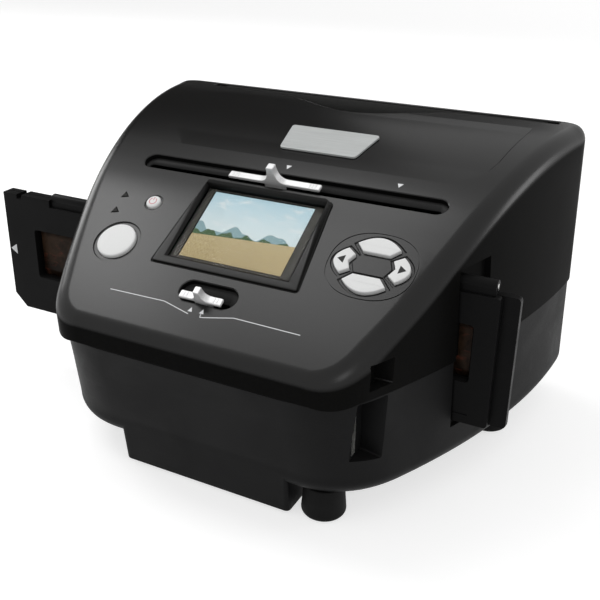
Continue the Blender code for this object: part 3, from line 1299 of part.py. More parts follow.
def leaf_outline(right):
    """Outline of a holder leaf: chamfered at its lower left, with a raised, notched tab at its left end."""
    notch_right = NOTCH_LEFT + NOTCH_WIDTH
    notch_low = TAB_TOP - NOTCH_DEPTH
    return [(HOLDER_LEFT + HOLDER_CHAMFER, HOLDER_LOW), (right - HOLDER_CORNER, HOLDER_LOW),
            (right, HOLDER_LOW + HOLDER_CORNER), (right, LEAF_TOP - HOLDER_CORNER),
            (right - HOLDER_CORNER, LEAF_TOP), (HINGE_LEFT, LEAF_TOP), (HINGE_LEFT, TAB_TOP),
            (notch_right, TAB_TOP), (notch_right, notch_low),
            (NOTCH_LEFT, notch_low), (NOTCH_LEFT, TAB_TOP), (HOLDER_LEFT, TAB_TOP),
            (HOLDER_LEFT, HOLDER_LOW + HOLDER_CHAMFER)]


def make_leaf(name, right, front_y, first_knuckle):
    """One leaf of the film holder with its windows and its share of the hinge knuckles."""
    rear_y = front_y + LEAF_THICKNESS
    leaf = panel(name, leaf_outline(right), front_y, rear_y, "matte_black")
    for i in range(FRAME_COUNT):
        left = FRAMES_LEFT + FRAME_PITCH * i
        cut(leaf, box(f"{name}_window_{i}", (left, front_y - OVERRUN, FILM_AXIS_HEIGHT - FRAME_TALL / 2),
                      (left + FRAME_WIDTH, rear_y + OVERRUN, FILM_AXIS_HEIGHT + FRAME_TALL / 2)))
    long = (HINGE_RIGHT - HINGE_LEFT - GAP * (HINGE_KNUCKLES + 1)) / HINGE_KNUCKLES
    if front_y < HINGE_Y - LEAF_THICKNESS / 2:
        strap = (HINGE_Y - HINGE_RADIUS, rear_y - GAP)
    else:
        strap = (front_y + GAP, HINGE_Y + HINGE_RADIUS)
    for i in range(first_knuckle, HINGE_KNUCKLES, 2):
        left = HINGE_LEFT + GAP + (long + GAP) * i
        join(leaf, box(f"{name}_strap_{i}", (left, strap[0], LEAF_TOP - HINGE_RADIUS),
                       (left + long, strap[1], TAB_TOP)))
        join(leaf, cylinder(f"{name}_knuckle_{i}", (left, HINGE_Y, TAB_TOP), (left + long, HINGE_Y, TAB_TOP),
                            HINGE_RADIUS))
    cut(leaf, cylinder(name + "_bore", (HINGE_LEFT, HINGE_Y, TAB_TOP),
                       (HINGE_RIGHT + OVERRUN, HINGE_Y, TAB_TOP), HINGE_PIN_RADIUS + GAP))
    return leaf


def make_holder():
    """The film holder: two hinged leaves with the pin between their knuckles and a strip of film inside."""
    make_leaf("holder_front_leaf", HOLDER_RIGHT, HOLDER_FRONT_Y, 0)
    back_y = LEAF_MEETING_Y + GAP
    back = make_leaf("holder_back_leaf", HOLDER_TAB_RIGHT, back_y, 1)
    margin = (FRAME_PITCH - FRAME_WIDTH) / 2
    left = FRAMES_LEFT - margin
    right = left + FRAME_PITCH * FRAME_COUNT
    low = FILM_AXIS_HEIGHT - FILM_WIDTH / 2
    high = FILM_AXIS_HEIGHT + FILM_WIDTH / 2
    cut(back, box("film_pocket", (left - GAP, back_y - OVERRUN, low - GAP),
                  (right + GAP, back_y + FILM_POCKET, high + GAP)))
    box("film_strip", (left, back_y, low), (right, back_y + FILM_THICKNESS, high), "film_brown")
    cylinder("holder_hinge_pin", (HINGE_LEFT + GAP, HINGE_Y, TAB_TOP), (HINGE_RIGHT - GAP, HINGE_Y, TAB_TOP),
             HINGE_PIN_RADIUS, "socket_steel", SMALL_SEGMENTS)


def make_photo_guide():
    """The guide under the tray slot: a shallow channel open above and behind, with a wide window in front."""
    front_y = TRAY_FRONT_Y - GUIDE_PLATE
    curb = CURB_LEVEL + GAP
    guide = beam("photo_guide", [(front_y, FLOOR_SEAT), (TRAY_REAR_Y - curb + FLOOR_SEAT, FLOOR_SEAT),
                                 (TRAY_REAR_Y, curb), (TRAY_REAR_Y, GUIDE_TOP), (front_y, GUIDE_TOP)],
                 -GUIDE_HALF, GUIDE_HALF, "matte_black")
    cut(guide, box("tray_channel", (-TRAY_HALF, TRAY_FRONT_Y, GUIDE_FLOOR),
                   (TRAY_HALF, TRAY_REAR_Y + OVERRUN, GUIDE_TOP + OVERRUN)))
    cut(guide, box("view_window", (-TRAY_VIEW_HALF, front_y - OVERRUN, GUIDE_VIEW_FLOOR),
                   (TRAY_VIEW_HALF, TRAY_FRONT_Y + OVERRUN, GUIDE_VIEW_TOP)))


def make_photo_lamps():
    """Two upright lamp boards that light the photo from both sides."""
    half = PHOTO_LAMP_WIDTH / 2
    thick = PHOTO_LAMP_THICKNESS / 2
    for side, word in ((-1, "left"), (1, "right")):
        frame = Matrix.Translation((side * PHOTO_LAMP_X, PHOTO_LAMP_Y, 0)) @ Matrix.Rotation(
            side * PHOTO_LAMP_TURN, 4, "Z")
        lamp = box(f"photo_lamp_{word}", (-half, -thick, FLOOR_SEAT), (half, thick, PHOTO_LAMP_TOP),
                   "board_green", frame)
        join(lamp, box(f"lamp_foot_{word}", (-half, 0, FLOOR_SEAT),
                       (half, PHOTO_LAMP_FOOT, FLOOR_SEAT + PHOTO_LAMP_FOOT_TALL), None, frame))


def make_main_board():
    """The main board beside the camera, with the card socket and the small socket at its right edge."""
    shelf = SPLIT_LEVEL + BAY_WALL
    outline = [(MAIN_LEFT, FLOOR_SEAT), (MAIN_RIGHT - MAIN_CHAMFER_WIDE, FLOOR_SEAT),
               (MAIN_RIGHT, FLOOR_SEAT + MAIN_CHAMFER_TALL), (MAIN_RIGHT, shelf), (MAIN_TOP_RIGHT, shelf),
               (MAIN_TOP_RIGHT, MAIN_TOP), (MAIN_LEFT, MAIN_TOP)]
    panel("main_board", outline, MAIN_FRONT_Y, MAIN_FRONT_Y + BOARD_THICKNESS, "board_green")
    card_left = CARD_BAY_FLOOR - CARD_LONG
    socket = box("card_socket", (card_left, CARD_REAR_Y - CARD_THICKNESS, CARD_LOW),
                 (CARD_BAY_FLOOR, CARD_REAR_Y, CARD_LOW + CARD_TALL), "socket_steel")
    side = (CARD_THICKNESS - CARD_SLOT) / 2
    cut(socket, box("card_mouth", (CARD_BAY_FLOOR - CARD_SLOT_DEPTH, CARD_REAR_Y - CARD_THICKNESS + side,
                                   CARD_LOW + side),
                    (CARD_BAY_FLOOR + OVERRUN, CARD_REAR_Y - side, CARD_LOW + CARD_TALL - side)))
    usb = box("usb_socket", (USB_BAY_FLOOR - USB_LONG, CARD_REAR_Y - USB_THICKNESS, USB_LOW),
              (USB_BAY_FLOOR, CARD_REAR_Y, USB_LOW + USB_TALL), "socket_steel")
    cut(usb, box("usb_mouth", (USB_BAY_FLOOR - USB_DEPTH, CARD_REAR_Y - USB_THICKNESS + USB_SHELL,
                               USB_LOW + USB_SHELL),
                 (USB_BAY_FLOOR + OVERRUN, CARD_REAR_Y - USB_SHELL, USB_LOW + USB_TALL - USB_SHELL)))


def make_feet():
    """Four round feet, each with a spigot up into the floor."""
    under = BOTTOM_LEVEL - GAP
    profile = [
        (0, FLOOR - GAP),
        (FOOT_SPIGOT_RADIUS, FLOOR - GAP),
        (FOOT_SPIGOT_RADIUS, under),
        (FOOT_TOP_RADIUS, under),
        (FOOT_RADIUS, FOOT_ROUND),
        (FOOT_RADIUS - FOOT_ROUND, 0),
        (0, 0),
    ]
    names = ("front_left_foot", "front_right_foot", "rear_left_foot", "rear_right_foot")
    for name, (x, y) in zip(names, FOOT_PLACES):
        turned(name, profile, "foot_rubber", Matrix.Translation((x, y, 0)))


def make_housing_screws():
    """Four screws up from their wells in the lower housing into the upper housing's posts."""
    head = SPLIT_LEVEL - SCREW_WEB - GAP
    profile = [
        (0, SPLIT_LEVEL + SCREW_BITE),
        (SCREW_RADIUS, SPLIT_LEVEL + SCREW_BITE),
        (SCREW_RADIUS, head),
        (SCREW_HEAD_RADIUS, head),
        (SCREW_HEAD_RADIUS, head - SCREW_HEAD_TALL),
        (0, head - SCREW_HEAD_TALL),
    ]
    for i, (x, y) in enumerate(SCREW_PLACES):
        turned(f"housing_screw_{i + 1}", profile, "screw_steel", Matrix.Translation((x, y, 0)),
               SMALL_SEGMENTS)


def make_name_plate():
    """The bare plate on the face above the slot, in a shallow pocket."""
    outline_solid("name_plate", plate_outline(), -PLATE_SINK, PLATE_THICKNESS - PLATE_SINK, "plate_silver",
                  on_face(PLATE_X, PLATE_Y))


set_middle()
make_upper_housing()
make_lower_housing()
make_screen()
make_name_plate()
make_keys()
round_button("scan_button", SCAN_X, SCAN_V, SCAN_RADIUS)
round_button("power_button", POWER_X, POWER_V, POWER_RADIUS)
lamp_light("photo_lamp_light", LAMP_PHOTO_V)
lamp_light("film_lamp_light", LAMP_FILM_V)
make_key_board()
make_backlight()
make_focus()
make_camera()
make_gate()
make_holder()
make_photo_guide()
make_photo_lamps()
make_main_board()
make_feet()
make_housing_screws()
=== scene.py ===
"""Looks for a desktop film and photo scanner with a screen, keys, sliders and a film holder.

The scanner's own frame has x = 0 on its middle plane, y = 0 at the middle of the screen and z = 0 on the
ground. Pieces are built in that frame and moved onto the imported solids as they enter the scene.
"""
from __future__ import annotations

import json
import logging
import math
from collections.abc import Callable, Sequence
from dataclasses import dataclass, field
from enum import Enum

import bmesh
import bpy
from mathutils import Matrix, Vector

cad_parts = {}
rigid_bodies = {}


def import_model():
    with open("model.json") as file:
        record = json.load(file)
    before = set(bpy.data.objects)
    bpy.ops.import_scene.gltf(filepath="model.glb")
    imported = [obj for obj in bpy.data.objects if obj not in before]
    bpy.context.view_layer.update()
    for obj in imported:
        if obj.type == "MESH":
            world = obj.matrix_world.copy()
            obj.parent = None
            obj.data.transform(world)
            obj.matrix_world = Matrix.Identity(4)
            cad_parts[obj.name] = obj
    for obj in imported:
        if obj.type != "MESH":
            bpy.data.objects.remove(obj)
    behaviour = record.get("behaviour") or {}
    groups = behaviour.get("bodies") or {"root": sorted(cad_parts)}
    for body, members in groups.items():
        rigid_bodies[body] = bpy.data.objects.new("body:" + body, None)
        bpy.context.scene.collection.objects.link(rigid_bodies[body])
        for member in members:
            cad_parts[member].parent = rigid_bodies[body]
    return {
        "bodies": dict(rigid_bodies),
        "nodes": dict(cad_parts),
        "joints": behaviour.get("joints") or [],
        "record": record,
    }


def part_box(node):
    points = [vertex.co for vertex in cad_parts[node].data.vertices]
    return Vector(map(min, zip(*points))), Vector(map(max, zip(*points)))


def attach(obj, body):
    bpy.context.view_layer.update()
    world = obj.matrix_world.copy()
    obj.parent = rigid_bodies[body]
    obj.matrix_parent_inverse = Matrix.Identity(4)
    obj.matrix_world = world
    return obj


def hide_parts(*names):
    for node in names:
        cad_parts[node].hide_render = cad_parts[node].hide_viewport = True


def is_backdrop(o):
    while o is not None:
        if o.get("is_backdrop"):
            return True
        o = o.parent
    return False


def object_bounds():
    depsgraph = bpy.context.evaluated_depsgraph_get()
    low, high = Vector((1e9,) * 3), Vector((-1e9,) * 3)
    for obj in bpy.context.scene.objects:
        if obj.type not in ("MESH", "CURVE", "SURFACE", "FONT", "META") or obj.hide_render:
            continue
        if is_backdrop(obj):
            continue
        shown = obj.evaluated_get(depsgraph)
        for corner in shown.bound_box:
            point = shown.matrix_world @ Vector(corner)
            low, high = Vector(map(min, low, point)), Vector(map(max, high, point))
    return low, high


LOG = logging.getLogger("scanner")

Item = bpy.types.Object
Material = bpy.types.Material
Node = bpy.types.Node
Socket = bpy.types.NodeSocket
Tree = bpy.types.NodeTree
Shape = bmesh.types.BMesh
Point = tuple[float, float]
Triple = tuple[float, float, float]
Four = tuple[float, float, float, float]
Outline = list[Point]
Levels = Sequence[Point]

CUT_DEEP = 0.0065
CUT_ABOVE = 0.004
HOUSING_POSTS: tuple[Point, ...] = ((-0.062, 0.04), (0.062, 0.04), (-0.09, 0.098), (0.09, 0.098))
FEET: dict[str, Point] = {"front_left_foot": (-0.0525, 0.002), "front_right_foot": (0.0525, -0.0285),
                          "rear_left_foot": (-0.094, 0.07), "rear_right_foot": (0.094, 0.07)}


class Body(Enum):
    """The rigid bodies that pieces ride on."""

    BASE = "base"
    HOLDER = "film_holder"
    BACKLIGHT = "backlight"
    FOCUS = "focus"
    SCAN = "scan"
    POWER = "power"
    MODE = "mode"
    ENTER = "enter"
    LEFT = "left"
    RIGHT = "right"


class Cut(Enum):
    """What a boolean does with its tool."""

    REMOVE = "DIFFERENCE"
    ADD = "UNION"


def curve_between(start: Vector, control: Vector, end: Vector, count: int) -> list[Vector]:
    """Points of a quadratic curve, without its last point.

    Args:
        start: First point.
        control: Point that the curve leans towards.
        end: Last point, which is left out.
        count: How many points.

    Returns:
        The points from start on.
    """
    points = []
    for i in range(count):
        t = i / count
        points.append(start * (1 - t) ** 2 + control * (2 * t * (1 - t)) + end * t ** 2)
    return points


def circle(x: float, y: float, radius: float, count: int = 64) -> Outline:
    """Points of a circle, anticlockwise."""
    turns = [2 * math.pi * i / count for i in range(count)]
    return [(x + radius * math.cos(t), y + radius * math.sin(t)) for t in turns]


def rectangle(left: float, low: float, right: float, high: float) -> Outline:
    """Corners of an upright rectangle, anticlockwise."""
    return [(left, low), (right, low), (right, high), (left, high)]


def stadium(x: float, y: float, half: float, width: float, count: int = 40) -> Outline:
    """Points of a slot with round ends, its whole length twice half.

    Args:
        x: Across of its middle.
        y: Up of its middle.
        half: Half its length.
        width: Its width.
        count: How many steps its two ends have.

    Returns:
        Its points, anticlockwise.
    """
    radius = width / 2
    points = []
    for side in (1, -1):
        for i in range(count // 2 + 1):
            turn = -math.pi / 2 + math.pi * i / (count // 2)
            across = side * (half - radius + radius * math.cos(turn))
            points.append((x + across, y + side * radius * math.sin(turn)))
    return points


def rounded(corners: Outline, radius: float, count: int = 7) -> Outline:
    """A polygon's points with each corner rounded by a short curve.

    Args:
        corners: The polygon.
        radius: How far the rounding reaches from each corner.
        count: Steps of each curve.

    Returns:
        The rounded outline.
    """
    points: Outline = []
    for i, corner in enumerate(corners):
        here = Vector(corner)
        before = (Vector(corners[i - 1]) - here).normalized() * radius
        after = (Vector(corners[(i + 1) % len(corners)]) - here).normalized() * radius
        for k in range(count + 1):
            t = k / count
            moved = here + before * (1 - t) ** 2 + after * t ** 2
            points.append((moved.x, moved.y))
    return points


def moved_out(points: Outline, distance: float) -> Outline:
    """An anticlockwise outline moved outwards by a distance, its corners kept sharp within reason.

    Args:
        points: The outline.
        distance: How far out, negative for inwards.

    Returns:
        The moved outline, point for point.
    """
    if not distance:
        return list(points)
    moved: Outline = []
    for i, point in enumerate(points):
        here = Vector(point)
        before = here - Vector(points[i - 1])
        after = Vector(points[(i + 1) % len(points)]) - here
        first = Vector((before.y, -before.x)).normalized()
        second = Vector((after.y, -after.x)).normalized()
        out = first + second
        out = out.normalized() if out.length > 1e-9 else first
        reach = distance / max(out.dot(first), 0.6)
        moved.append((here.x + out.x * reach, here.y + out.y * reach))
    return moved


def quarter(steps: int) -> list[Point]:
    """Cosine and sine along a quarter turn, in equal steps."""
    turns = [math.pi / 2 * i / steps for i in range(steps + 1)]
    return [(math.cos(t), math.sin(t)) for t in turns]


def soft_top(low: float, high: float, radius: float, crown: float = 0.0, steps: int = 5) -> list[Point]:
    """Levels of a solid with a rounded upper edge and a slightly crowned top.

    Args:
        low: Height of its underside.
        high: Height of the end of its rounded edge.
        radius: Radius of that edge.
        crown: How much the middle stands above the edge.
        steps: Points along the rounding.

    Returns:
        Pairs of height and outward move.
    """
    levels = [(low, 0.0)]
    levels += [(high - radius + radius * sine, radius * (cosine - 1)) for cosine, sine in quarter(steps)]
    if crown:
        levels.append((high + crown * 0.6, -radius * 2.2))
        levels.append((high + crown, -radius * 3.8))
    return levels


def flared(deep: float, radius: float, clear: float, steps: int = 4) -> list[Point]:
    """Levels of a cutter for a hole whose upper edge, at height zero, is rounded.

    Args:
        deep: How far down the cutter reaches.
        radius: Radius of the rounded edge.
        clear: How far the cutter stands above the surface.
        steps: Points along the rounding.

    Returns:
        Pairs of height and outward move.
    """
    edge = [(-radius * cosine, radius * (1 - cosine)) for cosine, _ in quarter(steps)]
    return [(-deep, 0.0)] + edge + [(clear, radius)]


@dataclass(frozen=True)
class BodyForm:
    """Sizes and formulas of the housing's outer form, in metres."""

    screen_height: float = 0.106
    face_angle: float = math.radians(31.25)
    bend_y: float = 0.005
    bend_radius: float = 0.2
    front_y: float = -0.052
    rear_y: float = 0.126
    top_level: float = 0.138
    bottom_level: float = 0.015
    top_front_half: float = 0.071
    top_rear_half: float = 0.1145
    top_bulge: float = 0.0045
    bottom_front_half: float = 0.0625
    bottom_rear_half: float = 0.117
    bottom_bulge: float = 0.0145
    wall: float = 0.0025
    split_level: float = 0.063
    front_corner: float = 0.014
    rear_corner: float = 0.013
    front_rim: float = 0.004
    side_rim: float = 0.008
    rear_rim: float = 0.003
    corner_steps: int = 12
    side_steps: int = 39
    rim_steps: int = 8
    gap: float = 0.0003

    def face_height(self, y: float) -> float:
        """Height of the control face: a straight slope, then an arc that levels out towards the rear."""
        if y <= self.bend_y:
            return self.screen_height + y * math.tan(self.face_angle)
        start = self.screen_height + self.bend_y * math.tan(self.face_angle)
        slope = max(0.0, math.sin(self.face_angle) - (y - self.bend_y) / self.bend_radius)
        return start + self.bend_radius * (math.sqrt(1 - slope * slope) - math.cos(self.face_angle))

    def face_slope(self, y: float) -> float:
        """Angle of the control face at a place."""
        if y <= self.bend_y:
            return self.face_angle
        return math.asin(max(0.0, math.sin(self.face_angle) - (y - self.bend_y) / self.bend_radius))

    def on_screen(self, x: float = 0.0, v: float = 0.0, rise: float = 0.0) -> Matrix:
        """Frame on the straight part of the face: x across, y up the slope, z outwards.

        Args:
            x: Across from the middle.
            v: Up the slope from the screen's middle.
            rise: Outwards from the face.

        Returns:
            The frame.
        """
        sine = math.sin(self.face_angle)
        cosine = math.cos(self.face_angle)
        spot = Vector((x, v * cosine - rise * sine, self.screen_height + v * sine + rise * cosine))
        return Matrix.Translation(spot) @ Matrix.Rotation(self.face_angle, 4, "X")

    def on_face(self, x: float, y: float, rise: float = 0.0) -> Matrix:
        """Frame anywhere on the face, tilted as the face is there.

        Args:
            x: Across from the middle.
            y: Towards the rear.
            rise: Outwards from the face.

        Returns:
            The frame.
        """
        slope = self.face_slope(y)
        normal = Vector((0, -math.sin(slope), math.cos(slope)))
        spot = Vector((x, y, self.face_height(y))) + normal * rise
        return Matrix.Translation(spot) @ Matrix.Rotation(slope, 4, "X")

    def side_half(self, y: float, level: float) -> float:
        """Half the housing's width at a place and a level.

        Args:
            y: Towards the rear.
            level: Height above the ground.

        Returns:
            The half width.
        """
        share = (y - self.front_y) / (self.rear_y - self.front_y)
        arch = 4 * share * (1 - share)
        top = self.top_front_half + (self.top_rear_half - self.top_front_half) * share + self.top_bulge * arch
        low = self.bottom_front_half + (self.bottom_rear_half - self.bottom_front_half) * share
        low += self.bottom_bulge * arch
        mix = (level - self.bottom_level) / (self.top_level - self.bottom_level)
        return low + (top - low) * mix

    def point_count(self) -> int:
        """How many points one side of a plan outline has."""
        return self.corner_steps * 2 + self.side_steps + 1

    def plan(self, level: float | Callable[[float], float], front_y: float, corner: float,
             inset: Sequence[float]) -> list[Vector]:
        """Right-hand outline of the housing at a level, from its front corner to its rear corner.

        Args:
            level: One height, or a function that gives a height for each y.
            front_y: Where the front wall stands.
            corner: Size of the rounded front corner.
            inset: How far each point is moved inwards.

        Returns:
            The outline's points.
        """
        height = level if callable(level) else (lambda y: level)

        def side(y: float) -> Vector:
            """A point of the side wall."""
            return Vector((self.side_half(y, height(y)), y))

        front = curve_between(Vector((side(front_y).x - corner, front_y)), side(front_y),
                              side(front_y + corner), self.corner_steps)
        rear_start = self.rear_y - self.rear_corner
        span = rear_start - front_y - corner
        middle = [side(front_y + corner + span * i / self.side_steps) for i in range(self.side_steps)]
        rear_end = Vector((side(self.rear_y).x - self.rear_corner, self.rear_y))
        rear = curve_between(side(rear_start), side(self.rear_y), rear_end, self.corner_steps)
        points = front + middle + rear + [rear_end]
        moved = []
        for i, point in enumerate(points):
            if i == 0:
                out = Vector((0, -1))
            elif i == len(points) - 1:
                out = Vector((0, 1))
            else:
                along = points[i + 1] - points[i - 1]
                out = Vector((along.y, -along.x)).normalized()
            moved.append(point - out * inset[i])
        return moved

    def around(self, level: float | Callable[[float], float], inset: Sequence[float]) -> list[Vector]:
        """The outline at a level with the housing's own front and corner."""
        return self.plan(level, self.front_y, self.front_corner, inset)

    def rim_radii(self) -> list[float]:
        """Rim radius for each outline point: tight at the front, wide along the sides, tight at the rear."""
        radii = []
        for i in range(self.point_count()):
            if i < self.corner_steps:
                radii.append(self.front_rim + (self.side_rim - self.front_rim) * i / self.corner_steps)
            elif i < self.corner_steps + self.side_steps:
                radii.append(self.side_rim)
            else:
                share = (i - self.corner_steps - self.side_steps) / self.corner_steps
                radii.append(self.side_rim + (self.rear_rim - self.side_rim) * share)
        return radii


FORM = BodyForm()


class Workshop:
    """Makes meshes in the scanner's frame and puts them into the scene."""

    def __init__(self, middle: Vector) -> None:
        """Keep the move from the scanner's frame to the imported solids."""
        self.middle = Matrix.Translation(middle)

    def enter(self, name: str, shape: Shape, matrix: Matrix | None = None,
              smooth: float = 35.0) -> Item:
        """Put a mesh into the scene.

        Args:
            name: The piece's name.
            shape: Its mesh, which is freed.
            matrix: Its place in the scanner's frame.
            smooth: Edges flatter than this many degrees are shaded smooth.

        Returns:
            The new object.
        """
        bmesh.ops.recalc_face_normals(shape, faces=shape.faces[:])
        mesh = bpy.data.meshes.new(name)
        shape.to_mesh(mesh)
        shape.free()
        mesh.shade_smooth()
        mesh.set_sharp_from_angle(angle=math.radians(smooth))
        item = bpy.data.objects.new(name, mesh)
        bpy.context.scene.collection.objects.link(item)
        item.matrix_world = self.middle @ (matrix or Matrix.Identity(4))
        return item

    def stack(self, name: str, outline: Outline, levels: Levels, matrix: Matrix | None = None,
              smooth: float = 35.0) -> Item:
        """A closed solid through one outline, moved out or in at each level.

        Args:
            name: The piece's name.
            outline: Its plan.
            levels: Pairs of height and outward move, from the bottom up.
            matrix: Its place in the scanner's frame.
            smooth: Edges flatter than this many degrees are shaded smooth.

        Returns:
            The new object.
        """
        loops = [[(x, y, height) for x, y in moved_out(outline, out)] for height, out in levels]
        return self.skin(name, loops, matrix, smooth, cut_caps=True, turn_first=True)

    def skin(self, name: str, loops: Sequence[Sequence[Triple]], matrix: Matrix | None = None,
             smooth: float = 35.0, cut_caps: bool = False, turn_first: bool = False) -> Item:
        """A closed solid through loops of as many points each, with a cap at both ends.

        Args:
            name: The piece's name.
            loops: The loops, one after another.
            matrix: Its place in the scanner's frame.
            smooth: Edges flatter than this many degrees are shaded smooth.
            cut_caps: Whether the caps are cut into triangles.
            turn_first: Whether the first cap runs the other way round from its loop.

        Returns:
            The new object.
        """
        shape = bmesh.new()
        rows = [[shape.verts.new(point) for point in loop] for loop in loops]
        for low, high in zip(rows, rows[1:]):
            self.band(shape, low, high)
        caps = [shape.faces.new(rows[0][::-1] if turn_first else rows[0]), shape.faces.new(rows[-1])]
        if cut_caps:
            shape.normal_update()
            bmesh.ops.triangulate(shape, faces=caps, ngon_method="EAR_CLIP")
        return self.enter(name, shape, matrix, smooth)

    @staticmethod
    def band(shape: Shape, low: Sequence[bmesh.types.BMVert], high: Sequence[bmesh.types.BMVert]) -> None:
        """A band of faces between two loops of vertices."""
        for i, near in enumerate(low):
            k = (i + 1) % len(low)
            shape.faces.new((near, low[k], high[k], high[i]))

    def bay(self, name: str, mouths: Sequence[tuple[float, ...]], radius: float) -> Item:
        """A cutter for a bay in the right wall, through rounded rectangles in y and z, each after its x."""
        return self.skin(name, [[(x, y, z) for y, z in rounded(rectangle(*sides), radius, 4)]
                                for x, *sides in mouths])

    def turned(self, name: str, profile: Sequence[Point], matrix: Matrix | None = None,
               segments: int = 64) -> Item:
        """A turned solid.

        Args:
            name: The piece's name.
            profile: Pairs of radius and height down its outer side, from axis to axis or joined into a ring.
            matrix: Its place in the scanner's frame.
            segments: Steps round.

        Returns:
            The new object.
        """
        shape = bmesh.new()
        closed = profile[0][0] > 0
        rows = []
        for radius, height in profile:
            if radius <= 0:
                rows.append([shape.verts.new((0, 0, height))])
                continue
            rows.append([shape.verts.new((x, y, height)) for x, y in circle(0, 0, radius, segments)])
        pairs = list(zip(rows[:-1], rows[1:]))
        if closed:
            pairs.append((rows[-1], rows[0]))
        for upper, lower in pairs:
            for i in range(segments):
                k = (i + 1) % segments
                if len(upper) == 1:
                    shape.faces.new((upper[0], lower[i], lower[k]))
                elif len(lower) == 1:
                    shape.faces.new((upper[k], upper[i], lower[0]))
                else:
                    shape.faces.new((upper[k], upper[i], lower[i], lower[k]))
        return self.enter(name, shape, matrix)

    def loft(self, name: str, rings: Sequence[Sequence[Vector]]) -> Item:
        """A closed solid through rings of right-hand points, each mirrored to the left.

        Args:
            name: The piece's name.
            rings: The rings, each from the front's middle round to the rear's.

        Returns:
            The new object.
        """
        shape = bmesh.new()
        loops = []
        for ring in rings:
            right = [shape.verts.new(point) for point in ring]
            left = [shape.verts.new((-point.x, point.y, point.z)) for point in ring]
            loops.append((right, left))
        count = len(rings[0])
        for (right, left), (right_next, left_next) in zip(loops[:-1], loops[1:]):
            for i in range(count - 1):
                shape.faces.new((right[i], right[i + 1], right_next[i + 1], right_next[i]))
                shape.faces.new((left[i + 1], left[i], left_next[i], left_next[i + 1]))
            shape.faces.new((left[0], right[0], right_next[0], left_next[0]))
            shape.faces.new((right[-1], left[-1], left_next[-1], right_next[-1]))
        for right, left in (loops[0], loops[-1]):
            for i in range(count - 1):
                shape.faces.new((left[i], right[i], right[i + 1], left[i + 1]))
        return self.enter(name, shape)

    def block(self, name: str, low: Sequence[float], high: Sequence[float],
              matrix: Matrix | None = None) -> Item:
        """A plain cutter between two corners."""
        base = [(low[2], 0.0), (high[2], 0.0)]
        return self.stack(name, rectangle(low[0], low[1], high[0], high[1]), base, matrix)

    def beam(self, name: str, section: Outline, left: float, right: float) -> Item:
        """A bar from left to right with a section in y and z."""
        along_x = Matrix(((0, 0, 1, 0), (1, 0, 0, 0), (0, 1, 0, 0), (0, 0, 0, 1)))
        return self.stack(name, section, [(left, 0.0), (right, 0.0)], along_x)

    def panel(self, name: str, outline: Outline, front_y: float, levels: Levels) -> Item:
        """An upright plate from an outline in x and z, its levels measured towards the rear from front_y.

        Args:
            name: The piece's name.
            outline: Its front view in x and z.
            front_y: Where the levels start.
            levels: Pairs of distance towards the rear and outward move.

        Returns:
            The new object.
        """
        turned = [(x, -z) for x, z in reversed(outline)]
        place = Matrix.Translation((0, front_y, 0)) @ Matrix.Rotation(-math.pi / 2, 4, "X")
        return self.stack(name, turned, levels, place)

    def ribbon(self, name: str, path: Sequence[Point], width: float, low: float, high: float,
               matrix: Matrix) -> Item:
        """A thin flat line along a path.

        Args:
            name: The piece's name.
            path: Its points in the frame of the matrix.
            width: Its width.
            low: Height of its underside.
            high: Height of its top.
            matrix: Its place in the scanner's frame.

        Returns:
            The new object.
        """
        sides: tuple[Outline, Outline] = ([], [])
        for i, point in enumerate(path):
            here = Vector(point)
            before = (here - Vector(path[i - 1])).normalized() if i else None
            after = (Vector(path[i + 1]) - here).normalized() if i + 1 < len(path) else None
            along = (before or after) + (after or before)
            out = Vector((along.y, -along.x)).normalized() * width / 2
            sides[0].append((here.x + out.x, here.y + out.y))
            sides[1].append((here.x - out.x, here.y - out.y))
        return self.stack(name, sides[0] + sides[1][::-1], [(low, 0.0), (high, 0.0)], matrix)

    @staticmethod
    def merged(pieces: Sequence[Item]) -> Item:
        """Several meshes as one object in the first one's place."""
        first = pieces[0]
        shape = bmesh.new()
        back = first.matrix_world.inverted()
        for piece in pieces:
            copy = piece.data.copy()
            copy.transform(back @ piece.matrix_world)
            shape.from_mesh(copy)
            bpy.data.meshes.remove(copy)
        for piece in pieces[1:]:
            bpy.data.objects.remove(piece, do_unlink=True)
        shape.to_mesh(first.data)
        shape.free()
        return first

    def carve(self, item: Item, tools: Sequence[Item],
              what: Cut = Cut.REMOVE) -> Item:
        """Cut tools from a piece or add them to it, all at once, and drop the tools.

        Args:
            item: The piece.
            tools: Closed solids that don't cross each other.
            what: Whether they are removed or added.

        Returns:
            The piece.
        """
        tool = self.merged(tools)
        bpy.context.view_layer.update()
        modifier = item.modifiers.new("carve", "BOOLEAN")
        modifier.operation = what.value
        modifier.solver = "EXACT"
        modifier.object = tool
        self.settle(item)
        bpy.data.objects.remove(tool, do_unlink=True)
        return item

    @staticmethod
    def settle(item: Item) -> Item:
        """Turn an object's modifiers into plain mesh."""
        graph = bpy.context.evaluated_depsgraph_get()
        mesh = bpy.data.meshes.new_from_object(item.evaluated_get(graph))
        item.modifiers.clear()
        item.data = mesh
        return item

    def polish(self, item: Item, smooth: float = 30.0) -> Item:
        """Shade a carved piece: sharp at real edges, and smooth elsewhere with the large faces leading.

        Args:
            item: The piece.
            smooth: Edges flatter than this many degrees are shaded smooth.

        Returns:
            The piece.
        """
        shape = bmesh.new()
        shape.from_mesh(item.data)
        bmesh.ops.dissolve_degenerate(shape, dist=1e-6, edges=shape.edges[:])
        shape.to_mesh(item.data)
        shape.free()
        item.data.shade_smooth()
        item.data.set_sharp_from_angle(angle=math.radians(smooth))
        modifier = item.modifiers.new("weighted_normals", "WEIGHTED_NORMAL")
        modifier.keep_sharp = True
        modifier.weight = 80
        return self.settle(item)


